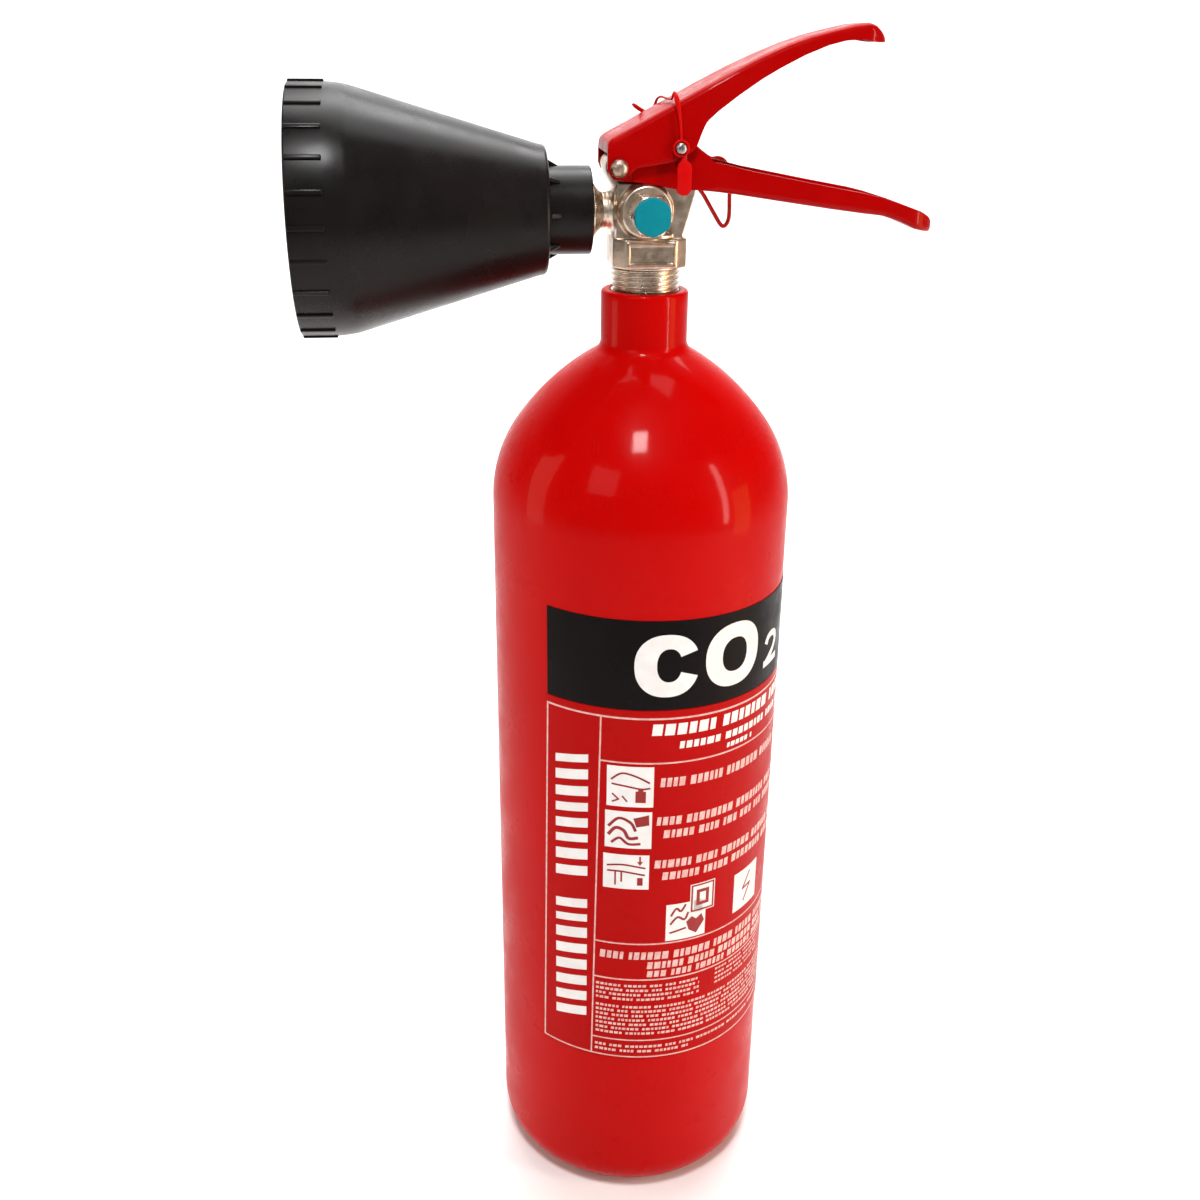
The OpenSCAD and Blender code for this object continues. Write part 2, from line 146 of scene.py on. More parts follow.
def arc(cx, cy, r, a0, a1, n):
    return [(cx + r * math.cos(math.radians(a0 + (a1 - a0) * k / n)),
             cy + r * math.sin(math.radians(a0 + (a1 - a0) * k / n))) for k in range(n + 1)]


def slab(name, pts, lo, hi, place=up, bevel=0.2, seg=3, deg=32):
    """A flat outline between two heights, with its two rims rounded over."""
    bm = bmesh.new()
    a = [bm.verts.new(Vector(place(x, y, lo)) / 1000) for x, y in pts]
    b = [bm.verts.new(Vector(place(x, y, hi)) / 1000) for x, y in pts]
    n = len(pts)
    bm.faces.new(a)
    bm.faces.new(b[::-1])
    for i in range(n):
        bm.faces.new((a[i], a[(i + 1) % n], b[(i + 1) % n], b[i]))
    bmesh.ops.recalc_face_normals(bm, faces=bm.faces)
    if bevel > 0:
        rims = [e for e in bm.edges if (e.verts[0] in a) == (e.verts[1] in a)]
        bmesh.ops.bevel(bm, geom=rims, offset=bevel / 1000, offset_type="OFFSET", segments=seg, profile=0.5,
                        affect="EDGES", clamp_overlap=True)
    return finish_mesh(name, bm, deg)


def spline(pts, k, closed=False):
    """Catmull-Rom points through pts."""
    out, n = [], len(pts)
    for i in range(n if closed else n - 1):
        p = [Vector(pts[j % n] if closed else pts[min(max(j, 0), n - 1)]) for j in (i - 1, i, i + 1, i + 2)]
        for s in range(k):
            t = s / k
            out.append(0.5 * ((2 * p[1]) + (p[2] - p[0]) * t + (2 * p[0] - 5 * p[1] + 4 * p[2] - p[3]) * t * t
                              + (3 * p[1] - p[0] - 3 * p[2] + p[3]) * t ** 3))
    if not closed:
        out.append(Vector(pts[-1]))
    return out


def tube(name, path, section, closed=False, ref=(0, 1, 0), deg=40):
    """A tube along path. section(k, s) gives (half width, half thickness) at share s of the length."""
    verts, faces, m, n = [], [], 20, len(path)
    for k, p in enumerate(path):
        a = path[(k - 1) % n] if closed else path[max(k - 1, 0)]
        b = path[(k + 1) % n] if closed else path[min(k + 1, n - 1)]
        t = (b - a).normalized()
        side = t.cross(Vector(ref)).normalized()
        nor = side.cross(t).normalized()
        w, h = section(k, k / (n - 1))
        for i in range(m):
            g = TAU * i / m
            c, s = math.cos(g), math.sin(g)
            if abs(w - h) > 0.05:
                c = math.copysign(abs(c) ** 0.6, c)
                s = math.copysign(abs(s) ** 0.6, s)
            verts.append(tuple(p + side * (w * c) + nor * (h * s)))
    for k in range(n if closed else n - 1):
        for i in range(m):
            faces.append((k * m + i, k * m + (i + 1) % m, (k + 1) % n * m + (i + 1) % m, (k + 1) % n * m + i))
    if not closed:
        faces.append(tuple(range(m)))
        faces.append(tuple((n - 1) * m + i for i in range(m)))
    return build(name, verts, faces, deg)


def modify(o, kind, **kw):
    m = o.modifiers.new(kind.lower(), kind)
    for k, v in kw.items():
        setattr(m, k, v)
    return m


def bake(o):
    """Applies o's modifiers."""
    dg = bpy.context.evaluated_depsgraph_get()
    me = bpy.data.meshes.new_from_object(o.evaluated_get(dg))
    o.modifiers.clear()
    o.data = me
    return o


def cut(o, *tools):
    for t in tools:
        modify(o, "BOOLEAN", operation="DIFFERENCE", object=t, solver="EXACT")
    bpy.context.view_layer.update()
    bake(o)
    for t in tools:
        bpy.data.objects.remove(t)
    return o


def join(name, *objs):
    bm = bmesh.new()
    for o in objs:
        bm.from_mesh(o.data)
        bpy.data.objects.remove(o)
    me = bpy.data.meshes.new(name)
    bm.to_mesh(me)
    bm.free()
    return link(name, me)


def sharpen(o, deg=32):
    bm = bmesh.new()
    bm.from_mesh(o.data)
    lim = math.radians(deg)
    for f in bm.faces:
        f.smooth = True
    for e in bm.edges:
        e.smooth = not (len(e.link_faces) == 2 and e.calc_face_angle(0) > lim)
    bm.to_mesh(o.data)
    bm.free()
    return o


def rod(x, z, r, y0, y1, n=48):
    return spin("tool", [(0, -y1), (r, -y1), (r, -y0), (0, -y0)], front(x, z), n, closed=False)


# ---------------------------------------------------------------- materials
def material(name, colour, rough=0.4, metal=0.0, coat=0.0, coat_rough=0.05, spec=0.5, vary=None, vary_scale=60,
             vary_amount=0.35, rough_vary=0.1, grain=900, bump=0.06, dist=0.00005, speck=None, speck_scale=1400,
             speck_at=0.7, lumps=None, lumps_bump=0.1, build=None):
    m = bpy.data.materials.new(name)
    m.use_nodes = True
    nt = m.node_tree
    p = nt.nodes["Principled BSDF"]
    new = nt.nodes.new
    co = new("ShaderNodeTexCoord")

    def noise_tex(scale, detail=3.0, roughness=0.5):
        t = new("ShaderNodeTexNoise")
        t.inputs["Scale"].default_value = scale
        t.inputs["Detail"].default_value = detail
        t.inputs["Roughness"].default_value = roughness
        nt.links.new(co.outputs["Object"], t.inputs["Vector"])
        return t.outputs["Fac"]

    def ramp(src, a, b, lo=0.35, hi=0.65):
        r = new("ShaderNodeMapRange")
        r.inputs["From Min"].default_value = lo
        r.inputs["From Max"].default_value = hi
        r.inputs["To Min"].default_value = a
        r.inputs["To Max"].default_value = b
        r.interpolation_type = "SMOOTHSTEP"
        nt.links.new(src, r.inputs["Value"])
        return r.outputs["Result"]

    def blend(fac, a, b):
        x = new("ShaderNodeMix")
        x.data_type = "RGBA"
        nt.links.new(fac, x.inputs["Factor"])
        for s, v in ((x.inputs[6], a), (x.inputs[7], b)):
            if isinstance(v, tuple):
                s.default_value = (*v, 1)
            else:
                nt.links.new(v, s)
        return x.outputs[2]

    vary = vary or tuple(c * 0.8 for c in colour)
    big = noise_tex(vary_scale, 4)
    col = blend(ramp(big, 0, vary_amount), colour, vary)
    if speck:
        col = blend(ramp(noise_tex(speck_scale, 2), 0, 1, speck_at, speck_at + 0.06), col, speck)
    nt.links.new(col, p.inputs["Base Color"])
    nt.links.new(ramp(noise_tex(vary_scale * 2.7, 5, 0.6), max(rough - rough_vary, 0.02), rough + rough_vary),
                 p.inputs["Roughness"])
    p.inputs["Metallic"].default_value = metal
    p.inputs["Specular IOR Level"].default_value = spec
    p.inputs["Coat Weight"].default_value = coat
    p.inputs["Coat Roughness"].default_value = coat_rough
    b = new("ShaderNodeBump")
    b.inputs["Strength"].default_value = bump
    b.inputs["Distance"].default_value = dist
    nt.links.new(noise_tex(grain, 3), b.inputs["Height"])
    last = b
    if lumps:
        b2 = new("ShaderNodeBump")
        b2.inputs["Strength"].default_value = lumps_bump
        b2.inputs["Distance"].default_value = 0.0004
        nt.links.new(noise_tex(lumps, 2), b2.inputs["Height"])
        nt.links.new(b.outputs["Normal"], b2.inputs["Normal"])
        last = b2
    if build:
        last = build(nt, co, p, last) or last
    nt.links.new(last.outputs["Normal"], p.inputs["Normal"])
    if coat:
        nt.links.new(last.outputs["Normal"], p.inputs["Coat Normal"])
    return m


def stamps(nt, co, p, last):
    """Two worn rows of stamped ticks round the shoulder, under the paint."""
    new = nt.nodes.new

    def math_node(op, a, b=None, c=None):
        n = new("ShaderNodeMath")
        n.operation = op
        for i, v in enumerate((a, b, c)):
            if v is None:
                continue
            if isinstance(v, (int, float)):
                n.inputs[i].default_value = v
            else:
                nt.links.new(v, n.inputs[i])
        return n.outputs[0]

    sep = new("ShaderNodeSeparateXYZ")
    nt.links.new(co.outputs["Object"], sep.inputs[0])
    x, y, z = sep.outputs
    ang = math_node("ARCTAN2", y, x)
    total = None
    for z0, z1, cells, seed, lo, hi in ((0.3335, 0.3405, 150, 3.1, -2.75, -0.25), (0.3175, 0.3245, 132, 8.7, -2.55, -0.35)):
        a = math_node("MULTIPLY", ang, cells / TAU)
        lean = math_node("MULTIPLY", z, 60)
        a = math_node("ADD", a, lean)
        cell = math_node("FLOOR", a)
        frac = math_node("FRACT", a)
        wn = new("ShaderNodeTexWhiteNoise")
        wn.noise_dimensions = "1D"
        nt.links.new(math_node("ADD", cell, seed), wn.inputs["W"])
        rnd = wn.outputs["Value"]
        wide = math_node("MULTIPLY_ADD", rnd, 0.4, 0.3)
        tick = math_node("LESS_THAN", math_node("ABSOLUTE", math_node("SUBTRACT", frac, 0.5)), math_node("MULTIPLY", wide, 0.5))
        keep = math_node("GREATER_THAN", rnd, 0.35)
        top = math_node("LESS_THAN", z, math_node("MULTIPLY_ADD", rnd, 0.002, z1 - 0.0015))
        low = math_node("GREATER_THAN", z, math_node("MULTIPLY_ADD", rnd, -0.002, z0 + 0.0015))
        side = math_node("MULTIPLY", math_node("GREATER_THAN", ang, lo), math_node("LESS_THAN", ang, hi))
        m = math_node("MULTIPLY", math_node("MULTIPLY", tick, keep), math_node("MULTIPLY", math_node("MULTIPLY", top, low), side))
        total = m if total is None else math_node("ADD", total, m)
    b = new("ShaderNodeBump")
    b.invert = True
    b.inputs["Strength"].default_value = 1.0
    b.inputs["Distance"].default_value = 0.0012
    nt.links.new(total, b.inputs["Height"])
    nt.links.new(last.outputs["Normal"], b.inputs["Normal"])
    return b


PAINT = material("cylinder_paint", (0.455, 0.001, 0.0005), 0.34, coat=0.11, coat_rough=0.08, spec=0.02,
                 vary=(0.385, 0.0006, 0.0006), vary_scale=14, grain=420, bump=0.05, dist=0.0002, lumps=75,
                 lumps_bump=0.11, build=stamps)
LABEL_RED = material("label_red", (0.40, 0.001, 0.0006), 0.36, coat=0.09, coat_rough=0.10, spec=0.02,
                     vary=(0.36, 0.001, 0.0006), vary_scale=25, grain=1500, bump=0.05, lumps=90, lumps_bump=0.04)
LABEL_BLACK = material("label_black", (0.003, 0.0018, 0.0018), 0.36, coat=0.08, coat_rough=0.12, spec=0.03,
                       vary=(0.009, 0.006, 0.006), vary_scale=30, grain=1500, bump=0.05, lumps=90, lumps_bump=0.04)
INK_WHITE = material("print_white", (0.80, 0.79, 0.78), 0.42, spec=0.2, vary=(0.70, 0.66, 0.65), vary_scale=160,
                     vary_amount=0.5, grain=2500, bump=0.05, speck=(0.66, 0.42, 0.40), speck_scale=2100, speck_at=0.70)
INK_PALE = material("print_pale", (0.74, 0.50, 0.47), 0.45, spec=0.3, vary=(0.62, 0.32, 0.29), vary_scale=420,
                    vary_amount=0.8, grain=2500, bump=0.05)
INK_RED = material("print_red", (0.30, 0.012, 0.012), 0.45, spec=0.3, vary=(0.16, 0.01, 0.01), vary_scale=220,
                   grain=2500, bump=0.05)
CAST = material("valve_metal", (0.68, 0.575, 0.47), 0.34, metal=1.0, vary=(0.40, 0.285, 0.195), vary_scale=110,
                vary_amount=0.8, rough_vary=0.06, grain=1300, bump=0.25, dist=0.0001, lumps=330, lumps_bump=0.20,
                speck=(0.34, 0.25, 0.18), speck_scale=1100, speck_at=0.68)
TURNED = material("turned_nickel", (0.74, 0.655, 0.56), 0.30, metal=1.0, vary=(0.55, 0.43, 0.32), vary_scale=120,
                  vary_amount=0.7, rough_vary=0.05, grain=1700, bump=0.10, lumps=220, lumps_bump=0.04)
BRASS = material("brass", (0.66, 0.47, 0.20), 0.24, metal=1.0, vary=(0.45, 0.30, 0.13), vary_scale=140,
                 grain=2000, bump=0.15, speck=(0.30, 0.20, 0.10), speck_scale=1200)
STEEL = material("steel", (0.42, 0.39, 0.38), 0.36, metal=1.0, vary=(0.30, 0.28, 0.27), vary_scale=260,
                 vary_amount=0.7, grain=2400, bump=0.3, dist=0.0001, speck=(0.15, 0.13, 0.12), speck_scale=1500, speck_at=0.64)
RIVET = material("rivet", (0.56, 0.43, 0.35), 0.38, metal=1.0, vary=(0.33, 0.22, 0.16), vary_scale=420,
                 vary_amount=0.8, grain=2400, bump=0.25, dist=0.0001, lumps=700, lumps_bump=0.2)
# far pivot head: a paler, silver copy of the rivet metal, a painted highlight on the far head of the same pin
RIVET_FAR_HIGHLIGHT = material("rivet_far_painted_highlight", (0.74, 0.73, 0.71), 0.22, metal=1.0, vary=(0.52, 0.50, 0.48), vary_scale=420,
                     grain=2400, bump=0.2, dist=0.0001)
LEVER = material("lever_paint", (0.335, 0.0006, 0.0006), 0.32, coat=0.13, coat_rough=0.09, spec=0.02,
                 vary=(0.28, 0.0005, 0.0005), vary_scale=40, grain=700, bump=0.14, dist=0.00012, lumps=150,
                 lumps_bump=0.07)
RING = material("ring_red", (0.46, 0.010, 0.008), 0.30, coat=0.3, coat_rough=0.10, spec=0.15,
                vary=(0.34, 0.006, 0.006), vary_scale=200, grain=1800, bump=0.15, lumps=500, lumps_bump=0.08)
SEAL = material("seal_plastic", (0.50, 0.002, 0.002), 0.42, spec=0.08, vary=(0.52, 0.002, 0.002), vary_scale=150,
                grain=1800, bump=0.15, lumps=420, lumps_bump=0.08)
HORN = material("horn_plastic", (0.0045, 0.004, 0.0038), 0.29, spec=0.15, vary=(0.010, 0.0075, 0.007), vary_scale=18,
                vary_amount=0.7, rough_vary=0.05, grain=700, bump=0.05, dist=0.00008, lumps=110, lumps_bump=0.05)
TEAL = material("cap_plastic", (0.001, 0.20, 0.245), 0.55, spec=0.10, vary=(0.001, 0.185, 0.24), vary_scale=380,
                vary_amount=0.8, grain=1700, bump=0.30, dist=0.0001, lumps=600, lumps_bump=0.25)
NYLON = material("nylon", (0.78, 0.77, 0.72), 0.42, vary=(0.66, 0.64, 0.58), grain=1800, bump=0.15)
RUBBER = material("rubber", (0.018, 0.018, 0.018), 0.6, vary=(0.03, 0.03, 0.03), grain=1800, bump=0.2)
COPPER = material("copper", (0.72, 0.34, 0.20), 0.28, metal=1.0, vary=(0.5, 0.22, 0.13), vary_scale=200, grain=2000, bump=0.15)
DIP = material("dip_tube", (0.62, 0.62, 0.62), 0.32, metal=1.0, vary=(0.5, 0.5, 0.49), grain=1800, bump=0.2)


def dress(o, mat, body, slot, *nodes):
    o.data.materials.clear()
    o.data.materials.append(mat)
    if nodes:
        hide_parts(*nodes)
    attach(o, body)
    return o


# ---------------------------------------------------------------- cylinder
NECK, FIL = 16.0, 4.5
fx = NECK + FIL
fz = 278.99 + math.sqrt((96.3 + FIL) ** 2 - (fx + 31.03) ** 2)
tang = math.degrees(math.atan2(fz - 278.99, fx + 31.03))
outer = [(r, -60.79 + math.sqrt(67.79 ** 2 - r * r)) for r in (0, 5, 10, 15, 20, 24, 27)]
outer += rounded([(27, 0.0 - 60.79 + math.sqrt(67.79 ** 2 - 729)), (30, 0), (34, 0)], 3, 5, False)[1:]
outer += arc(39, 18, 18, -90, 0, 12)
outer += [(57, 60), (57, 110), (57, 160), (57, 210), (57, 260)]
outer += arc(5.7, 305, 51.3, 0, 35.3, 12)
outer += arc(-31.03, 278.99, 96.3, 35.3, tang, 12)[1:]
outer += arc(fx, fz, FIL, 180 + tang, 180, 10)[1:]
outer += [(16, 376)] + rounded([(16, 380), (16, 384), (13.2, 384)], [0, 1.3, 0], 5, False)
outer += [(12.55, 383.3), (12.55, 361), (20, 354), (33.5, 339), (45, 323), (51.5, 305), (53.6, 290), (53.6, 20),
          (50, 10), (40, 4.2), (30, 4.4), (15, 9.2), (0, 10.6)]
shell = spin("cylinder", outer, up, 192, closed=False)
dress(shell, PAINT, "extinguisher", "cylinder_paint", "cylinder_shell")


# ---------------------------------------------------------------- label: plain patches wrapped on the wall
def lean(u):
    return 0.03667 * 57.25 * math.sin(u / 57.25)


def wrap_point(u, v, r, tilt=0.012):
    a = math.radians(-99) + u / 57.25
    return Vector((r * math.cos(a), r * math.sin(a), v - lean(u) + tilt * u)) / 1000


class Print:
    def __init__(self):
        self.bm = bmesh.new()

    def poly(self, pts):
        vs = [self.bm.verts.new((u, v, 0)) for u, v in pts]
        try:
            self.bm.faces.new(vs)
        except ValueError:
            pass
        return self

    def rect(self, u0, v0, u1, v1, slant=0.0):
        return self.poly([(u0, v0), (u1, v0), (u1 + slant, v1), (u0 + slant, v1)])

    def line(self, pts, w):
        for (ax, ay), (bx, by) in zip(pts, pts[1:]):
            d = Vector((bx - ax, by - ay))
            if d.length < 1e-6:
                continue
            t = d.normalized() * (w * 0.25)
            n = Vector((-d.y, d.x)).normalized() * (w / 2)
            a, b = Vector((ax, ay)) - t, Vector((bx, by)) + t
            self.poly([tuple(a + n), tuple(a - n), tuple(b - n), tuple(b + n)])
        return self

    def stroke(self, pts, w):
        """One even ribbon along a smooth path."""
        path = [Vector((*q, 0)) for q in pts]
        path = spline(path, 5)
        left, right = [], []
        for k, q in enumerate(path):
            d = (path[min(k + 1, len(path) - 1)] - path[max(k - 1, 0)]).normalized()
            n = Vector((-d.y, d.x, 0)) * (w / 2)
            left.append(q + n)
            right.append(q - n)
        for k in range(len(path) - 1):
            self.poly([(p.x, p.y) for p in (left[k], right[k], right[k + 1], left[k + 1])])
        return self

    def band(self, outer_pts, inner_pts):
        for k in range(len(outer_pts) - 1):
            self.poly([outer_pts[k], outer_pts[k + 1], inner_pts[k + 1], inner_pts[k]])
        return self

    def frame(self, u0, v0, u1, v1, w):
        return self.rect(u0, v0, u1, v0 + w).rect(u0, v1 - w, u1, v1).rect(u0, v0 + w, u0 + w, v1 - w).rect(
            u1 - w, v0 + w, u1, v1 - w)

    def dashes(self, u0, u1, v0, v1, seed, cell=2.4, gap=0.75, slant=0.0):
        """A row of plain dashes of mixed length."""
        rng = random.Random(seed)
        u, run = u0, rng.randint(3, 7)
        while u < u1:
            w = cell * rng.uniform(0.55, 1.15)
            self.rect(u, v0, min(u + w, u1), v1, slant)
            u += w + gap
            run -= 1
            if run == 0:
                u += cell * 0.7
                run = rng.randint(3, 8)
        return self

    def wrap(self, name, mat, r=57.29, step=2.0, tilt=0.012):
        bm = self.bm
        us = [v.co.x for v in bm.verts]
        k = math.floor(min(us) / step)
        while k * step < max(us):
            geom = list(bm.verts) + list(bm.edges) + list(bm.faces)
            bmesh.ops.bisect_plane(bm, geom=geom, plane_co=(k * step + 0.013, 0, 0), plane_no=(1, 0, 0), dist=1e-5)
            k += 1
        bmesh.ops.triangulate(bm, faces=[f for f in bm.faces if len(f.verts) > 4])
        bm.normal_update()
        for f in bm.faces:
            if f.normal.z < 0:
                f.normal_flip()
        for v in bm.verts:
            v.co = wrap_point(v.co.x, v.co.y, r, tilt)
        for f in bm.faces:
            f.smooth = True
        me = bpy.data.meshes.new(name)
        bm.to_mesh(me)
        bm.free()
        o = link(name, me)
        return dress(o, mat, "extinguisher", "label_black" if mat is LABEL_BLACK else "label_red")


def foil(name, left, right, v0, v1, mat, slot, node):
    """A thin wrapped sheet with real edges."""
    verts, faces, nu, nv = [], [], 64, 12
    for side, r in ((0, 57.05), (1, 57.25)):
        for j in range(nv + 1):
            t = j / nv
            v = v0 + (v1 - v0) * t
            ul = left[0] + (left[1] - left[0]) * t
            for i in range(nu + 1):
                u = ul + (right - ul) * i / nu
                verts.append(tuple(wrap_point(u, v, r) * 1000))
    w, c = nu + 1, (nu + 1) * (nv + 1)
    for j in range(nv):
        for i in range(nu):
            q = (j * w + i, j * w + i + 1, (j + 1) * w + i + 1, (j + 1) * w + i)
            faces.append(tuple(c + k for k in q))
            faces.append(q[::-1])
    for i in range(nu):
        for j in (0, nv):
            faces.append((j * w + i, j * w + i + 1, c + j * w + i + 1, c + j * w + i))
    for j in range(nv):
        for i in (0, nu):
            faces.append((j * w + i, (j + 1) * w + i, c + (j + 1) * w + i, c + j * w + i))
    o = build(name, verts, faces, 40)
    return dress(o, mat, "extinguisher", slot, node)


foil("label_band_sheet", (-35.4, -35.4), 91.0, 240.2, 276.2, LABEL_BLACK, "label_black", "label_band")
foil("label_panel_sheet", (-38.4, -35.9), 91.0, 76.6, 239.9, LABEL_RED, "label_red", "label_panel")


def ell(cx, cy, a, b, t0, t1, n=44, p=2.25):
    out = []
    for k in range(n + 1):
        t = math.radians(t0 + (t1 - t0) * k / n)
        c, s = math.cos(t), math.sin(t)
        out.append((cx + a * math.copysign(abs(c) ** (2 / p), c), cy + b * math.copysign(abs(s) ** (2 / p), s)))
    return out


gas = Print()
gas.band(ell(11.6, 258.2, 12.3, 12.6, 24, 341), ell(12.3, 258.4, 4.7, 6.7, 27, 338))
gas.band(ell(39.7, 258.9, 13.2, 12.9, 0, 360), ell(39.9, 258.8, 6.1, 6.9, 0, 360))
gas.stroke([(59.6, 256.2), (61.2, 258.6), (64.2, 259.4), (67.6, 258.4), (68.7, 255.6), (66.8, 252.6), (63.4, 250.2),
            (60.4, 248.3)], 2.7)
gas.rect(58.2, 246.5, 71.0, 249.3)
gas.wrap("label_gas_mark", INK_WHITE, 57.31)

W = 0.65
lines = Print()
lines.poly([(-35.6, 236.2), (-34.9, 236.2), (-37.4, 77.6), (-38.1, 77.6)])
lines.poly([(-13.1, 236.2), (-12.5, 236.2), (-15.0, 78.2), (-15.6, 78.2)])
lines.rect(-35.6, 236.2, 90.2, 236.2 + W + 0.1)
lines.rect(-38.1, 77.5, 90.2, 77.5 + W)
lines.rect(-13.3, 217.4, 90.2, 217.4 + W)
lines.rect(-14.7, 134.6, 90.2, 134.6 + W)
lines.rect(-14.9, 117.0, 90.2, 117.0 + W)
lines.rect(-15.3, 86.2, 90.2, 86.2 + W * 0.9)
lines.wrap("label_lines", INK_PALE)

bars = Print()
rng = random.Random(5)
v = 93.0
while v < 219:
    h = rng.uniform(3.4, 5.0)
    if not 150 < v < 157:
        bars.poly([(-31.6, v), (-17.6, v + 3.2), (-17.6, v + 3.2 + h), (-31.6, v + h)])
    v += h + 3.1
bars.wrap("label_side_bars", INK_WHITE)

title = Print()
title.dashes(6.4, 88, 229.6, 234.4, 11, 3.6, 1.0, 0.5)
title.dashes(17.2, 84, 223.6, 226.6, 12, 2.6, 0.8, 0.3)
title.dashes(38, 52, 219.6, 221.6, 13, 1.8, 0.6, 0.3)
title.wrap("label_title_dashes", INK_WHITE)

rows = Print()
for u0, v0, h, s in ((10.2, 207.4, 3.9, 21), (9.2, 190.4, 3.7, 22), (12, 184.6, 3.5, 23), (8.8, 170.9, 3.6, 24),
                     (12, 165.3, 3.5, 25), (-12.2, 127.4, 3.6, 26), (7.0, 122.8, 3.3, 27), (7.0, 118.7, 3.0, 28)):
    rows.dashes(u0, 86, v0, v0 + h, s, 2.2, 0.75, 0.35)
v = 113.6
s = 40
while v > 89:
    rows.dashes(-13.6, 30 if v > 106 else 86, v, v + 1.15, s, 1.5, 0.5, 0.1)
    if v > 106:
        rows.dashes(38, 70, v + 1.2, v + 2.2, s + 50, 1.4, 0.5, 0.1)
    v -= 2.25 if s != 43 else 3.9
    s += 1
for k, v in enumerate((82.6, 80.2)):
    rows.dashes(-13.8, 86 if k == 0 else 26, v, v + 1.2, 70 + k, 1.6, 0.5, 0.1)
rows.wrap("label_text_dashes", INK_PALE)

tiles = Print()
tiles.rect(-10.2, 198.6, 7.7, 216.2)
tiles.rect(-10.7, 180.0, 7.4, 196.5)
tiles.rect(-11.2, 161.2, 6.8, 177.0)
tiles.rect(14.2, 135.9, 31.5, 153.2)
tiles.rect(24.2, 147.5, 35.6, 161.0)
tiles.rect(46.6, 139.0, 64.0, 157.6)
tiles.wrap("label_tiles", INK_WHITE)

icons = Print()
# a hand lever over a handle
icons.stroke([(-8.6, 210.2), (-4.5, 213.2), (1.0, 212.0), (6.2, 209.2)], 0.8)
icons.stroke([(-8.4, 208.4), (-2.5, 207.6), (3.0, 206.6), (6.4, 207.0)], 0.8)
icons.rect(0.8, 200.6, 4.8, 205.6).rect(1.8, 205.6, 3.8, 206.8)
icons.line([(-8.0, 204.0), (-5.6, 201.8), (-8.0, 200.6)], 0.7)
icons.line([(-4.2, 203.2), (-2.4, 201.0)], 0.7)
# a horn aimed at a flame
icons.poly([(0.2, 193.6), (6.2, 195.2), (6.4, 190.6), (1.4, 189.6)])
icons.stroke([(-9.4, 189.4), (-5.4, 193.4), (-0.8, 191.6), (1.2, 187.8)], 1.2)
icons.stroke([(-9.4, 185.6), (-6.6, 189.0), (-3.4, 188.0), (-1.4, 184.6), (2.2, 185.0)], 1.4)
icons.stroke([(-8.2, 182.2), (-5.0, 184.6), (-1.6, 182.0), (3.2, 182.2)], 1.1)
# a lever pressed down
icons.stroke([(-9.8, 171.6), (-3.0, 172.4), (5.4, 171.0)], 0.8)
icons.stroke([(-9.6, 169.2), (-3.0, 169.2), (5.2, 167.8)], 0.8)
icons.line([(-6.4, 169.0), (-6.4, 163.0)], 0.7)
icons.line([(-4.0, 169.0), (-4.0, 164.6)], 0.7)
icons.rect(2.2, 163.0, 4.4, 166.6)
icons.line([(3.2, 176.2), (3.2, 173.4)], 0.7)
icons.poly([(2.0, 174.0), (4.4, 174.0), (3.2, 172.2)])
# a spill on fire
icons.stroke([(16.2, 147.6), (18.4, 151.0), (20.4, 149.4), (22.4, 152.4)], 1.0)
icons.stroke([(16.0, 143.6), (19.0, 146.8), (22.0, 145.2), (23.6, 148.4)], 1.0)
icons.poly([(22.8, 143.8), (25.2, 146.0), (27.2, 144.4), (29.6, 146.2), (31.0, 142.8), (27.4, 137.4), (24.0, 139.8)])
icons.line([(16.0, 139.6), (22.6, 141.0)], 0.9)
icons.frame(24.6, 147.9, 35.2, 160.6, 0.8)
icons.frame(27.0, 150.6, 32.8, 158.0, 1.5)
# a zigzag
icons.line([(57.4, 154.8), (52.6, 148.2)], 1.0)
icons.line([(52.6, 148.2), (58.2, 149.0)], 1.0)
icons.line([(58.2, 149.0), (53.6, 142.2)], 1.0)
icons.wrap("label_icons", INK_RED, 57.31)


# ---------------------------------------------------------------- valve casting
def copy_of(node, name):
    o = link(name, NODE[node].data.copy())
    bm = bmesh.new()
    bm.from_mesh(o.data)
    bmesh.ops.remove_doubles(bm, verts=bm.verts, dist=2e-6)
    bm.to_mesh(o.data)
    bm.free()
    return o


base = copy_of("valve_body", "valve_base")
bm = bmesh.new()
bm.from_mesh(base.data)
geom = list(bm.verts) + list(bm.edges) + list(bm.faces)
res = bmesh.ops.bisect_plane(bm, geom=geom, plane_co=(0, 0, 0.3929), plane_no=(0, 0, 1), clear_inner=True)
edges = [e for e in res["geom_cut"] if isinstance(e, bmesh.types.BMEdge)]
bmesh.ops.holes_fill(bm, edges=[e for e in bm.edges if e.is_boundary])
bm.to_mesh(base.data)
bm.free()

flare = [(5.2, 9.4), (8.0, 9.4), (7.9, 12.0), (7.2, 12.5), (6.75, 13.3), (6.5, 14.6), (5.2, 14.6)]
extra = [
    spin("x1", flare, outlet, 64),
    spin("x2", [(5.6, 3.6), (10.2, 3.6), (10.0, 9.4), (9.3, 11.0), (8.8, 13.0), (5.6, 13.0)], front(-2, 412.6), 64),
    spin("x3", [(5.6, 13.4), (9.05, 13.4), (9.05, 14.5), (8.5, 15.0), (5.6, 15.0)], front(-2, 412.6), 64),
    spin("x4", [(6.0, 402.2), (13.0, 402.2), (12.4, 403.6), (11.5, 405.4), (6.0, 405.4)], up, 64),
]
body = join("valve_casting", base, *extra)
modify(body, "REMESH", mode="VOXEL", voxel_size=0.00026, use_smooth_shade=True)
modify(body, "SMOOTH", factor=0.5, iterations=5)
bpy.context.view_layer.update()
bake(body)
for f in body.data.polygons:
    f.use_smooth = True
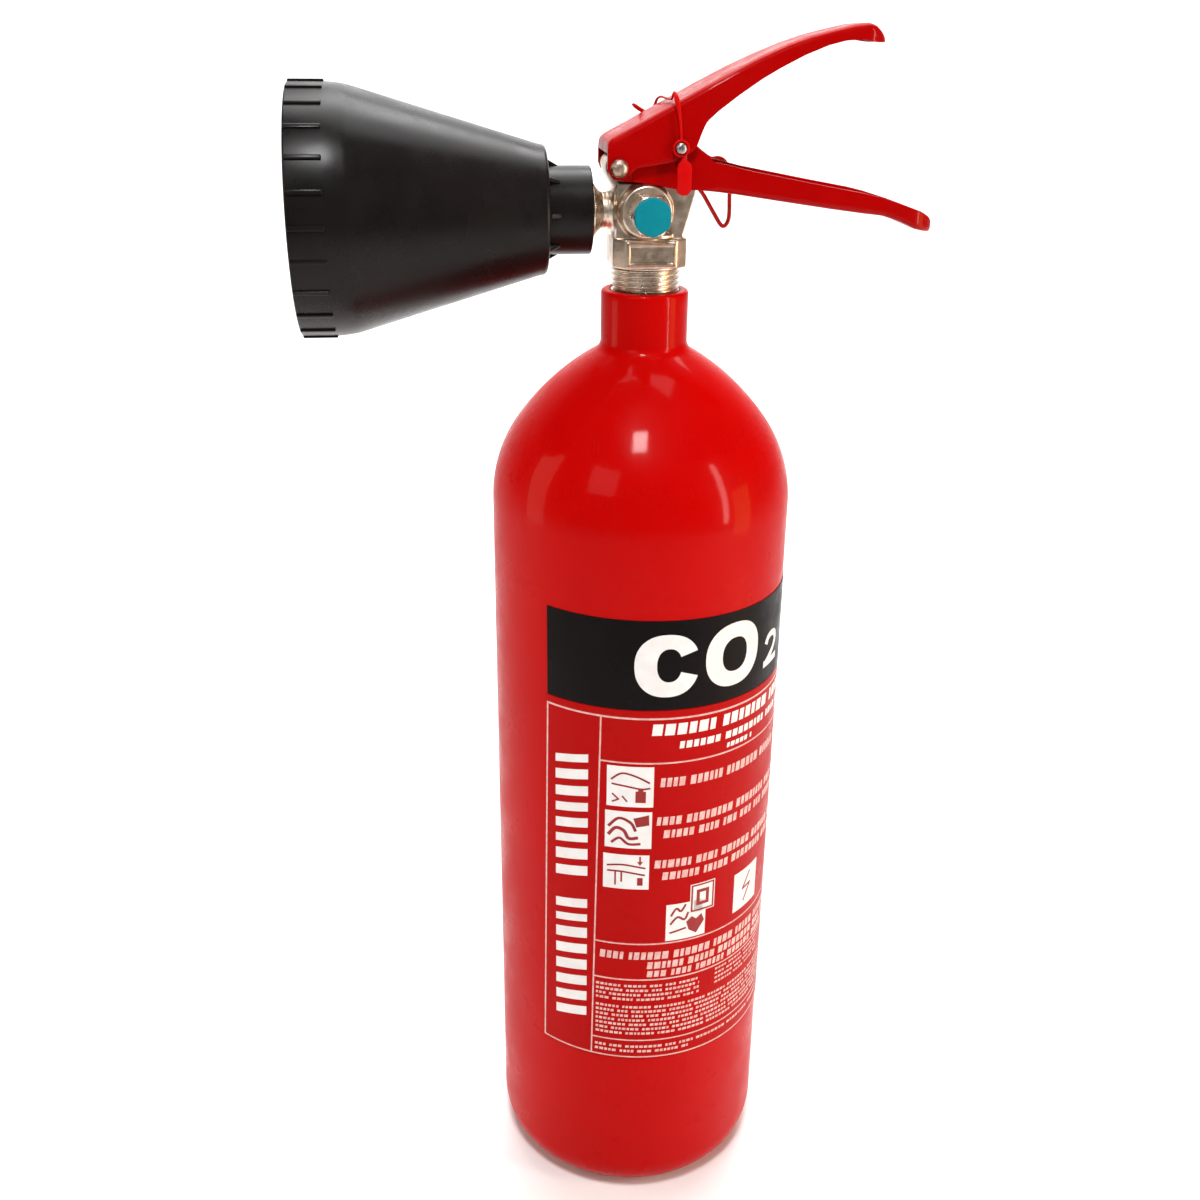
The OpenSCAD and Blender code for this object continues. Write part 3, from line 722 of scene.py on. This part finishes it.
dress(body, CAST, "extinguisher", "valve_metal", "valve_body")

bars_ = [slab("bar", rounded([(x0, z0), (x1, z0), (x1, z1), (x0, z1)], 0.25, 3), 13.0, 13.75, front(0, 0), 0.22, 3)
         for x0, z0, x1, z1 in ((-8.6, 401.2, 8.6, 402), (-8.6, 394, 8.6, 394.8), (-8.6, 394, -7.8, 402), (7.8, 394, 8.6, 402))]
bars_ = join("valve_panel_frame", *bars_)
sharpen(bars_, 40)
dress(bars_, CAST, "extinguisher", "valve_metal")

# thread: one running helix between neck and block
verts, faces = [], []
n, pitch, z0, z1 = 144, 1.814, 384.1, 392.6
steps = 84
for k in range(steps + 1):
    z = z0 + (z1 - z0) * k / steps
    for i in range(n):
        a = TAU * i / n
        t = ((z - z0) / pitch - i / n) % 1.0
        tri = abs(t - 0.5) * 2
        d = min(max((tri - 0.12) / 0.72, 0), 1)
        d = d * d * (3 - 2 * d)
        edge = min(1, (z - z0) / 0.5, (z1 - z) / 0.7)
        r = 12.5 - 1.2 * (1 - (1 - d) * max(edge, 0))
        verts.append((r * math.cos(a), r * math.sin(a), z))
for k in range(steps):
    for i in range(n):
        j = (i + 1) % n
        faces.append((k * n + i, k * n + j, (k + 1) * n + j, (k + 1) * n + i))
c = len(verts)
for z in (z0, z1):
    verts += [(10.6 * math.cos(TAU * i / n), 10.6 * math.sin(TAU * i / n), z) for i in range(n)]
for i in range(n):
    j = (i + 1) % n
    faces.append((i, j, c + j, c + i))
    faces.append((steps * n + i, steps * n + j, c + n + j, c + n + i))
    faces.append((c + i, c + j, c + n + j, c + n + i))
thread = build("valve_thread", verts, faces, 60)
dress(thread, TURNED, "extinguisher", "valve_metal")
stem = spin("valve_stem", [(7.05, 366.2), (12.2, 366.2), (12.45, 366.6), (12.45, 383.9), (11.2, 384.2), (10.55, 384.2),
                           (10.55, 392.9), (7.05, 392.9)], up, 96)
dress(stem, TURNED, "extinguisher", "valve_metal")
flange = spin("valve_flange", rounded([(10.5, 392.2), (12.7, 392.2), (12.7, 393.3), (10.5, 393.3)], [0, 0.35, 0.35, 0], 4), up, 128)
dress(flange, TURNED, "extinguisher", "valve_metal")

# ---------------------------------------------------------------- burst plug and cap
NS = 144


def hex_r(a, lim):
    g = (a + math.pi / 6) % (math.pi / 3) - math.pi / 6
    return min(6.5 / math.cos(g), lim)


rings_ = [(15.15, 6.9), (15.35, 7.2), (16.0, 99), (18, 99), (21, 99), (25.1, 99), (25.4, 7.4), (25.8, 7.12),
          (26.1, 6.85), (26.3, 6.55)]
verts, faces = [], []
for h, lim in rings_:
    for i in range(NS):
        a = TAU * i / NS
        r = hex_r(a + math.pi / 6, lim)
        verts.append(front(-2, 412.6)(r * math.cos(a + math.pi / 6 - math.pi / 6), r * math.sin(a), h))
for k in range(len(rings_) - 1):
    for i in range(NS):
        j = (i + 1) % NS
        faces.append((k * NS + i, k * NS + j, (k + 1) * NS + j, (k + 1) * NS + i))
faces.append(tuple(range(NS)))
faces.append(tuple((len(rings_) - 1) * NS + i for i in range(NS)))
plug = build("burst_plug_hex", verts, faces, 24)
shank = spin("plug_shank", [(0, 7.5), (2.2, 7.5), (2.2, 8.6), (4.7, 8.6), (5.0, 9.0), (5.0, 15.2), (0, 15.2)], front(-2, 412.6), 64, closed=False)
plug = join("burst_plug_body", plug, shank)
dress(plug, TURNED, "extinguisher", "brass", "burst_plug")
cap_out = []
for i in range(96):
    g = (TAU * i / 96 + math.pi / 6) % (math.pi / 3) - math.pi / 6
    r = 1 / ((math.cos(g + 0) / 6.42) ** 9 + (1 / 6.66) ** 9) ** (1 / 9)
    a = TAU * i / 96 - math.pi / 6 + math.pi / 6
    g2 = (a - math.pi / 6 + math.pi / 6) % (math.pi / 3) - math.pi / 6
    r = 1 / ((math.cos((a + math.pi / 6) % (math.pi / 3) - math.pi / 6) / 6.46) ** 14 + (1 / 6.72) ** 14) ** (1 / 14)
    cap_out.append((r * math.cos(a), r * math.sin(a)))
cap = slab("plug_cap_disc", cap_out, 26.4, 28.0, front(-2, 412.6), 0.45, 4, 50)
dress(cap, TEAL, "extinguisher", "cap_plastic", "burst_plug_cap")

# ---------------------------------------------------------------- lever and handle
LEVER_TOP = [(-16, 434.0), (-15.8, 435.3), (-15.2, 436.2), (-14.0, 437.1), (-5, 441.8), (6.7, 448), (16.8, 453.4), (28.5, 459.4),
             (37, 463.4), (46.5, 467.3), (54, 469.8), (61, 471.6), (69.5, 473.5), (74.6, 474.1), (77.3, 473.2),
             (79.6, 471.5), (82.3, 469)]
LEVER_LOW = [(-16, 427), (-15.2, 425), (-13.2, 423.3), (-9.6, 423.9), (-7.8, 425.4), (-6, 427.3), (1, 428.3),
             (8, 429.6), (11.4, 431.5), (14.6, 433.8), (16.6, 439.2), (18, 442.4), (22, 445.9), (29, 450.9), (37, 456),
             (44, 459.8), (52, 463.7), (60, 466.8), (66, 468.3), (71.5, 468.7), (74.6, 468.3), (78, 467.8), (82.3, 467.9)]
HANDLE_TOP = [(-15.8, 426), (-15.6, 429.2), (-13.4, 431), (-10, 431.8), (-1, 432), (4, 437.6), (14, 437.6),
              (15.5, 433), (19.6, 431.4), (21.4, 429), (27, 428), (35.7, 425.9), (58.9, 421.5), (76.6, 418.3),
              (82.5, 416.9), (91.6, 414.2), (98, 412), (102, 409.8), (104.2, 407.6), (105.1, 405)]
HANDLE_LOW = [(-15.8, 426), (-13.6, 423.2), (-6, 422.4), (0, 421.6), (8, 420), (17, 419.6), (30, 418), (42, 416.2),
              (54, 414.4), (65, 412.8), (77, 411.2), (84, 410.4), (91, 408.2), (96, 405.8), (100, 404.8), (105.1, 403.8)]


def at(line, x):
    if x <= line[0][0]:
        return line[0][1]
    for (x0, y0), (x1, y1) in zip(line, line[1:]):
        if x <= x1:
            return y0 + (y1 - y0) * (x - x0) / (x1 - x0)
    return line[-1][1]


def soft(line, rad=6, seg=6):
    return rounded(line, rad, seg, False)


def stations(x0, xc, r, step, corners):
    xs = [x0 + step * k for k in range(int((xc - x0) / step) + 1)] + [c for c in corners if x0 < c < xc] + [xc]
    xs = sorted(set(round(x, 3) for x in xs))
    keep = [xs[0]]
    for x in xs[1:]:
        if x - keep[-1] > 0.12:
            keep.append(x)
    return keep


T = 1.4
top = soft(LEVER_TOP, [0, 1, 1, 2, 20, 20, 20, 20, 20, 20, 20, 12, 6, 4, 4, 5, 0], 6)
low = soft(LEVER_LOW, [0, 2, 2, 2.5, 2, 2.5, 5, 3, 4, 3, 4, 8, 15, 20, 20, 20, 20, 14, 10, 10, 8, 6, 0], 5)
xc, nr = 73.1, 9.2


def lever_half(x):
    if x <= 20:
        return 14.0
    if x <= 46:
        t = (x - 20) / 26
        return 14.0 - 3.2 * (t * t * (3 - 2 * t) * 0.5 + t * 0.5)
    return 10.8 - 1.6 * (x - 46) / (xc - 46)


def u_section(w, zt, zb, rc, n_side, n_arc, n_top):
    """Half outline: from the low near edge, up, over the corner and across to the far side."""
    rc = max(min(rc, w * 0.96, (zt - zb) * 0.9), 0.001)
    pts = [(-w, zb + (zt - rc - zb) * i / n_side) for i in range(n_side)]
    pts += [(-w + rc - rc * math.cos(math.pi / 2 * i / n_arc), zt - rc + rc * math.sin(math.pi / 2 * i / n_arc)) for i in range(n_arc)]
    pts += [(-(w - rc) + 2 * (w - rc) * i / n_top, zt) for i in range(n_top + 1)]
    pts += [(w - rc + rc * math.sin(math.pi / 2 * i / n_arc), zt - rc + rc * math.cos(math.pi / 2 * i / n_arc)) for i in range(1, n_arc + 1)]
    pts += [(w, zt - rc - (zt - rc - zb) * i / n_side) for i in range(1, n_side + 1)]
    return pts


def skins(sections_out, sections_in):
    """Joins two skins of equal grids along their rims."""
    verts, faces = [], []
    m, n = len(sections_out), len(sections_out[0])
    for grid in (sections_out, sections_in):
        for row in grid:
            verts += row
    off = m * n
    for k in range(m - 1):
        for i in range(n - 1):
            a = (k * n + i, k * n + i + 1, (k + 1) * n + i + 1, (k + 1) * n + i)
            faces.append(a)
            faces.append(tuple(off + q for q in a[::-1]))
        for i in (0, n - 1):
            faces.append((k * n + i, (k + 1) * n + i, off + (k + 1) * n + i, off + k * n + i))
    for i in range(n - 1):
        for k in (0, m - 1):
            faces.append((k * n + i, k * n + i + 1, off + k * n + i + 1, off + k * n + i))
    return verts, faces


xs = stations(-16, xc, nr, 1.1, [p[0] for p in low] + [p[0] for p in top])
so, si = [], []
for x in xs:
    w = lever_half(x)
    zt, zb = at(top, x), at(low, x)
    slope = (at(top, x + 0.5) - at(top, x - 0.5))
    th = T * math.sqrt(1 + min(abs(slope), 1) ** 2)
    so.append([(x, y, z) for y, z in u_section(w, zt, zb, 2.6, 7, 7, 8)])
    si.append([(x, y, z) for y, z in u_section(w - T, max(zt - th, zb + 0.4), zb, 1.3, 7, 7, 8)])
NP = 16
for k in range(1, NP + 1):
    a = math.pi / 2 * k / NP
    xo, xi = xc + nr * math.sin(a), xc + (nr - T) * math.sin(a)
    wo, wi = max(nr * math.cos(a), 0.002), max((nr - T) * math.cos(a), 0.001)
    rc = 2.6 * (1 - k / NP) + 1.4 * k / NP
    so.append([(xo, y, z) for y, z in u_section(wo, at(top, xo), at(low, xo), min(rc, wo * 0.9), 7, 7, 8)])
    zt = max(at(top, xi) - T * 1.25, at(low, xi) + 0.4)
    si.append([(xi, y, z) for y, z in u_section(wi, zt, at(low, xi), min(1.3, wi * 0.9), 7, 7, 8)])
lever = build("lever_pressing", *skins(so, si), 32)
cut(lever, rod(-12, 427.3, 2.56, -20, 20), rod(9.1, 433.9, 1.98, -20, 20))
modify(lever, "BEVEL", width=0.0003, segments=2, limit_method="ANGLE", angle_limit=math.radians(50))
bpy.context.view_layer.update()
bake(lever)
sharpen(lever, 38)
dress(lever, LEVER, "lever", "lever_paint", "operating_lever")

# carrying handle: a trough whose floor turns up into the walls, and a fork on the valve
htop = soft(HANDLE_TOP, [0, 3, 3, 3, 2, 2.5, 2.5, 2, 2, 2.5, 10, 20, 20, 20, 20, 14, 8, 5, 4, 0], 5)
hlow = soft(HANDLE_LOW, [0, 2, 6, 8, 6, 6, 20, 20, 20, 20, 20, 12, 10, 10, 8, 0], 5)
hx, hr = 93.5, 11.6


def trough(w, zt, zs, zw, rc, t, inner):
    """Outline from the near top edge down and across to the far top edge. inner gives the upper face of the floor."""
    if inner:
        w, zf = w - t, zw + t
        r = max(min(rc - t * 0.6, w * 0.9), 0.25)
        pts = [(-w, zt - (zt - zf - r) * i / 8) for i in range(8)]
        pts += [(-w + r - r * math.cos(math.pi / 2 * i / 6), zf + r - r * math.sin(math.pi / 2 * i / 6)) for i in range(6)]
        pts += [(-(w - r) + 2 * (w - r) * i / 10, zf) for i in range(11)]
    else:
        r = max(min(rc, w * 0.9), 0.05)
        pts = [(-w, zt - (zt - zs - r) * i / 8) for i in range(8)]
        pts += [(-w + r - r * math.cos(math.pi / 2 * i / 6), zs + r - r * math.sin(math.pi / 2 * i / 6)) for i in range(6)]
        e = max(w - max(r, t), 0.001)
        pts += [(-(w - r), zs), (-e, zs)] + [(-e + 2 * e * i / 6, zw) for i in range(7)] + [(e, zs), (w - r, zs)]
    return pts + [(-y, z) for y, z in pts[:14][::-1]]


def web_z(x):
    return 421.95 if x <= 16.4 else at(hlow, x) if x >= 18.4 else 421.95 + (at(hlow, 18.4) - 421.95) * (x - 16.4) / 2


xs = stations(-7.2, hx, hr, 1.2, [p[0] for p in htop] + [p[0] for p in hlow] + [16.4, 18.4])
so, si = [], []
for x in xs:
    zs = at(hlow, x)
    zw = max(web_z(x), zs)
    rc = 0.25 + 1.75 * min(max((x - 17.5) / 6, 0), 1)
    so.append([(x, y, z) for y, z in trough(hr, at(htop, x), zs, zw, rc, T, False)])
    si.append([(x, y, z) for y, z in trough(hr, at(htop, x), zs, zw, rc, T, True)])
for k in range(1, NP + 1):
    a = math.pi / 2 * k / NP
    xo, xi = hx + hr * math.sin(a), hx + (hr - T) * math.sin(a)
    wo, wi = max(hr * math.cos(a), 0.01), max((hr - T) * math.cos(a), 0.006)
    zs = at(hlow, xo)
    so.append([(xo, y, z) for y, z in trough(wo, at(htop, xo), zs, zs, min(2.0, wo * 0.8), min(T, wo * 0.5), False)])
    zi = at(hlow, xi)
    zi_top = at(htop, xi)
    zf = min(zi, zi_top - T - 0.8)
    si.append([(xi, y, z) for y, z in trough(wi + T, zi_top, zf, zf, 2.0, T, True)])
n_out = len(so[0])
n_in = len(si[0])
verts, faces = [], []
for row in so:
    verts += row
off = len(verts)
for row in si:
    verts += row
m = len(so)
for k in range(m - 1):
    for i in range(n_out - 1):
        faces.append((k * n_out + i, k * n_out + i + 1, (k + 1) * n_out + i + 1, (k + 1) * n_out + i))
    for i in range(n_in - 1):
        faces.append((off + k * n_in + i + 1, off + k * n_in + i, off + (k + 1) * n_in + i, off + (k + 1) * n_in + i + 1))
    for i, j in ((0, 0), (n_out - 1, n_in - 1)):
        faces.append((k * n_out + i, (k + 1) * n_out + i, off + (k + 1) * n_in + j, off + k * n_in + j))
faces.append(tuple(range(n_out)) + tuple(off + i for i in range(n_in - 1, -1, -1)))
trough_o = build("handle_trough", verts, faces, 32)


def fork_plate(sign):
    line = [p for p in htop if p[0] <= -6.4] + [(-6.4, at(htop, -6.4))] + [(-6.4, at(hlow, -6.4))]
    line += [p for p in hlow if p[0] <= -6.4][::-1]
    pts = []
    for p in line:
        if not pts or (abs(p[0] - pts[-1][0]) + abs(p[1] - pts[-1][1])) > 0.05:
            pts.append(p)
    lo, hi = sorted((sign * (hr - 0.02), sign * (hr - T + 0.02)))
    return slab("fork", pts, -hi, -lo, lambda x, y, h: (x, -h, y), 0.12, 2)


seat = spin("seat", [(0, 415), (6.6, 415), (6.6, 429), (0, 429)], up, 64, closed=False)
notch = slab("notch", [(-14, -6.6), (0, -6.6), (0, 6.6), (-14, 6.6)], 415, 429, up, 0)
slot_tool = slab("slot_tool", arc(9.1, 433.9, 2.4, -10, 170, 12) + arc(10.0, 429.2, 2.4, 170, 350, 12), -20, 20,
                 lambda x, y, h: (x, h, y), 0)
cut(trough_o, seat, notch, slot_tool)
plates = [fork_plate(-1), fork_plate(1)]
for pl in plates:
    cut(pl, rod(-12, 427.3, 2.56, -20, 20))
handle = join("handle_pressing", trough_o, *plates)
modify(handle, "BEVEL", width=0.00022, segments=2, limit_method="ANGLE", angle_limit=math.radians(55))
bpy.context.view_layer.update()
bake(handle)
sharpen(handle, 38)
dress(handle, LEVER, "extinguisher", "lever_paint", "carrying_handle")

# ---------------------------------------------------------------- pins, ring, seal
PX, PZ = -12.0, 427.3
dome = arc(0, 0.35, 3.15, 0, 62, 6)
head = [(0, 14.02)] + [(2.4, 14.02), (2.9, 14.15), (3.12, 14.5), (3.15, 14.9), (3.02, 15.5), (2.66, 16.1), (2.05, 16.6),
                       (1.2, 16.9), (0, 17.0)]
near = spin("pivot_head_near", head, front(PX, PZ), 64, closed=False, deg=60)
dress(near, RIVET, "extinguisher", "rivet")
shaft = spin("pivot_shaft", [(0, -14.03), (2.5, -14.03), (2.5, 14.03), (0, 14.03)], front(PX, PZ), 48, closed=False)
dress(shaft, RIVET, "extinguisher", "rivet", "pivot_pin")
# the far head gets the paler rivet copy: painted highlight
far = spin("pivot_head_far", [(r, -h) for r, h in head], front(PX, PZ), 64, closed=False, deg=60)
dress(far, RIVET_FAR_HIGHLIGHT, "extinguisher", "rivet")

AX = Vector((0.544639, 0, 0.838671))
pin_prof = [(0, 17.05), (0.9, 17.0), (1.5, 16.8), (1.85, 16.45), (1.9, 16.1), (1.9, -16.2), (1.6, -16.6), (0, -16.6)]
pin = spin("safety_pin_rod", pin_prof, front(9.1, 433.9), 48, closed=False, deg=50)


def eye_place(x, y, h):
    sx = AX.cross(Vector((0, 1, 0))).normalized()
    p = Vector((9.1, 18.2, 433.9)) + AX * h + sx * x + Vector((0, 1, 0)) * y
    return tuple(p)


eye = spin("safety_pin_eye", rounded([(1.3, -1.75), (2.68, -1.75), (2.68, 1.75), (1.3, 1.75)], 0.5, 4), eye_place, 48, deg=50)
pin = join("safety_pin_piece", pin, eye)
sharpen(pin, 50)
dress(pin, STEEL, "pin", "steel", "safety_pin")

RING_PATH = [(8.1, 432.4), (10.2, 428.6), (16.3, 422.8), (23.1, 416.1), (28, 408.6), (31.7, 403.5), (34, 406),
             (34, 414), (33.6, 421), (32, 426), (29.4, 427.8), (25.6, 427.9), (19, 432.6), (13.6, 436.3), (10.1, 435.4),
             (9.1, 433.9)]
path = spline([Vector((x, 18.2, z)) for x, z in RING_PATH], 10, True)
ring = tube("pull_ring_wire", path, lambda k, s: (0.8, 0.8), True)
dress(ring, RING, "ring", "ring_red", "pull_ring")

FLAG = [(10, 431.6), (9.3, 430.0), (8.2, 428.7), (7.9, 427.6), (7.9, 420.2), (8.6, 419), (9.6, 418.4), (11.4, 418.4),
        (12.4, 419), (13, 420.2), (13, 427.6), (12.6, 428.8), (11.1, 430.2), (10.8, 431.6)]
flag = slab("seal_flag_plate", rounded(FLAG, 0.8, 4), 15.0, 16.0, front(0, 0), 0.28, 3)
eyelet = spin("seal_flag_eyelet", rounded([(2.1, 15.02), (2.95, 15.02), (2.95, 15.98), (2.1, 15.98)], 0.25, 3), front(9.1, 433.9), 48)
flag = join("seal_flag_piece", flag, eyelet)
sharpen(flag, 40)
dress(flag, SEAL, "lever", "seal_plastic", "seal_flag")

STRAP = [(9, -15.55, 436.4), (8.7, -15.55, 440.5), (8.2, -15.55, 444.2), (7.5, -15.45, 447.8), (6.8, -15, 450.7),
         (6.4, -13.6, 451.8), (6.4, -11.4, 450.9), (6.5, -8.4, 449.5), (6.5, -2, 449.2), (6.3, 5, 449.2), (5.9, 11.2, 449.2),
         (5.2, 14.9, 448.1), (4.4, 16.2, 445.4), (3, 16.3, 443.6), (1.4, 16.3, 443.7), (-0.8, 16.4, 444.8),
         (-3.4, 16.4, 446.5)]


def strap_section(k, s):
    keys = [(0, 0.42, 0.5), (0.05, 0.45, 0.5), (0.14, 0.62, 0.46), (0.22, 0.9, 0.42), (0.27, 0.62, 0.42), (0.31, 0.36, 0.4),
            (0.36, 0.4, 0.34), (0.66, 0.4, 0.34), (0.74, 0.6, 0.5), (0.8, 0.72, 0.6), (0.97, 0.74, 0.72), (1.0, 0.4, 0.4)]
    for (a, w0, h0), (b, w1, h1) in zip(keys, keys[1:]):
        if s <= b:
            t = (s - a) / (b - a)
            return w0 + (w1 - w0) * t, h0 + (h1 - h0) * t
    return keys[-1][1:]


strap = tube("seal_strap_piece", spline([Vector(p) for p in STRAP], 9), strap_section, False, (0.05, 1, 0.05))
dress(strap, SEAL, "lever", "seal_plastic", "seal_strap")

# ---------------------------------------------------------------- outlet, horn
adp = rounded([(3.1, 9.1), (4.4, 9.1), (4.5, 16.42), (6.35, 16.45), (6.9, 17.4), (9.3, 19.3), (9.4, 20.2), (6.0, 20.25),
               (6.0, 33.2), (5.4, 33.4), (3.1, 33.4)], [0, 0.2, 0, 0.4, 1.2, 0.7, 0.3, 0, 0.2, 0.2, 0], 5)
adapter = spin("outlet_adapter_piece", adp, outlet, 96, deg=40)
# the real fitting's narrow passages stay with the hidden frame, so only this outside shows
dress(adapter, TURNED, "extinguisher", "valve_metal", "outlet_adapter")

HOUT = [(15.2, 20.5), (15.2, 36.2), (20.9, 36.2), (21.7, 36.5), (22.2, 37.3), (22.4, 38.4), (22.8, 40), (41.6, 103.4),
        (42.1, 106.4), (42.4, 109.4), (42.5, 112), (42.5, 123)]
HIN = [(40.2, 123), (40.2, 111), (39.6, 107.4), (38.9, 104), (19.9, 41), (19, 39.2), (17.6, 38.2), (9.5, 38.2),
       (9.5, 21.1), (8.0, 21.1), (8.0, 20.5)]
HR = [0.5, 0.6, 0.3, 0.4, 0.4, 0.4, 2, 14, 0, 0, 0, 0.7] + [0.7, 3, 0, 10, 3, 0, 1.5, 0.3, 0.3, 0, 0.4]
horn = spin("horn_shell", rounded(HOUT + HIN, HR, 6), outlet, 192, deg=30)
parts = [horn]


def turned(ang, x, y, h):
    c, s = math.cos(ang), math.sin(ang)
    return outlet(x * c - y * s, x * s + y * c, h)


for i in range(24):
    a = TAU * i / 24
    pts = rounded([(41.9, 110.6), (43.2, 110.7), (43.2, 122.7), (41.9, 122.85)], [0, 0.45, 0.45, 0], 3)
    parts.append(slab("rib", pts, -0.8, 0.8, lambda x, y, h, a=a: turned(a, x, h, y), 0.28, 2))
for i in range(8):
    a = TAU * i / 8
    pts = rounded([(14.4, 32), (15.3, 32), (17.2, 35.4), (17.2, 36.8), (14.4, 36.8)], [0, 0.3, 0.9, 0, 0], 3)
    parts.append(slab("gusset", pts, -0.8, 0.8, lambda x, y, h, a=a: turned(a, x, h, y), 0.25, 2))
horn = join("horn_moulding", *parts)
sharpen(horn, 34)
dress(horn, HORN, "horn", "horn_plastic", "horn")

# ---------------------------------------------------------------- the frame's own parts that stay
KEEP = {
    "dip_tube": (DIP, "dip_tube"), "dip_tube_adapter": (BRASS, "brass"),
    "poppet": (BRASS, "brass"), "poppet_seal": (NYLON, "nylon"), "valve_rod": (STEEL, "steel"),
    "rod_o_ring": (RUBBER, "rubber"), "gland_nut": (TURNED, "brass"), "burst_disc": (COPPER, "copper"),
    "burst_washer": (COPPER, "copper"), "outlet_o_ring": (RUBBER, "rubber"), "horn_insert": (BRASS, "brass"),
    "insert_clip": (STEEL, "steel"), "horn_nozzle": (BRASS, "brass"),
}
for name, (mat, slot) in KEEP.items():
    NODE[name].data.materials.clear()
    NODE[name].data.materials.append(mat)


# the return spring, a copy of the frame's coil (the real spring shortens as the rod comes down on it)
coil = copy_of("valve_spring", "valve_spring_coil")
dress(coil, STEEL, "extinguisher", "steel", "valve_spring")
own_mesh(coil)

# ---------------------------------------------------------------- stage, light, camera
def stage_material(name, a, b, rough):
    m = bpy.data.materials.new(name)
    m.use_nodes = True
    nt = m.node_tree
    t = nt.nodes.new("ShaderNodeTexNoise")
    t.inputs["Scale"].default_value = 3
    r = nt.nodes.new("ShaderNodeMix")
    r.data_type = "RGBA"
    nt.links.new(t.outputs["Fac"], r.inputs["Factor"])
    r.inputs[6].default_value = (*a, 1)
    r.inputs[7].default_value = (*b, 1)
    nt.links.new(r.outputs[2], nt.nodes["Principled BSDF"].inputs["Base Color"])
    nt.nodes["Principled BSDF"].inputs["Roughness"].default_value = rough
    nt.nodes["Principled BSDF"].inputs["Specular IOR Level"].default_value = 0.1
    return m


sweep = [(-3000, 0), (-1500, 0), (600, 0), (1300, 0)] + arc(1300, 900, 900, -90, 0, 14) + [(2200, 2600), (2200, 3600)]
verts, faces = [], []
for x in (-4500, 4500):
    verts += [(x, y, z - 0.05) for y, z in sweep]
n = len(sweep)
for k in range(n - 1):
    faces.append((k, k + 1, n + k + 1, n + k))
floor = build("floor", verts, faces, 60)
floor.data.materials.append(stage_material("floor_paper", (0.90, 0.90, 0.90), (0.88, 0.88, 0.885), 0.8))


def area(name, loc, aim, size, power, colour=(1, 1, 1), size_y=None):
    d = bpy.data.lights.new(name, "AREA")
    d.energy = power
    d.color = colour
    d.size = size
    if size_y:
        d.shape = "RECTANGLE"
        d.size_y = size_y
    o = bpy.data.objects.new(name, d)
    bpy.context.scene.collection.objects.link(o)
    o.location = loc
    o.rotation_mode = "QUATERNION"
    o.rotation_quaternion = (Vector(aim) - Vector(loc)).to_track_quat("-Z", "Y")
    return o


area("key", (-0.12, -0.64, 1.40), (0, 0, 0.33), 0.22, 13)
area("fill", (-0.75, -0.90, 0.95), (0, 0, 0.25), 0.5, 2.2, (1, 0.98, 0.96))
area("strip_right", (0.95, -0.62, 0.55), (0, 0, 0.25), 0.10, 6, (1, 0.93, 0.86), 0.9)
area("warm_right", (0.75, -0.25, 0.25), (0, 0, 0.2), 0.22, 1.6, (1, 0.50, 0.14), 0.4)
area("strip_left", (-1.1, 0.05, 0.45), (0, 0, 0.25), 0.35, 4.5, (1, 0.74, 0.55), 1.1)
area("top", (0.15, 0.35, 1.35), (0.02, 0, 0.42), 0.8, 8)
area("back", (0.2, 1.0, 1.9), (0.1, 2.0, 0.6), 1.6, 55)

world = bpy.data.worlds.new("studio")
bpy.context.scene.world = world
world.use_nodes = True
world.node_tree.nodes["Background"].inputs["Color"].default_value = (1, 1, 1, 1)
world.node_tree.nodes["Background"].inputs["Strength"].default_value = 0.12

cam = bpy.data.cameras.new("camera")
cam.sensor_fit = "HORIZONTAL"
cam.sensor_width = 36
cam.lens = 40.5
cam.clip_start = 0.02
cam.clip_end = 30
camera = bpy.data.objects.new("camera", cam)
bpy.context.scene.collection.objects.link(camera)
right, upv, fwd = Vector((0.99246, -0.12221, 0.00976)), Vector((0.03921, 0.39178, 0.91922)), Vector((0.11616, 0.91191, -0.39361))
rot = Matrix((right, upv, -fwd)).transposed().to_4x4()
camera.matrix_world = Matrix.Translation(Vector((-0.07806, -0.49285, 0.47335))) @ rot
bpy.context.scene.camera = camera
bpy.context.scene.view_settings.view_transform = "Standard"
bpy.context.scene.view_settings.look = "None"
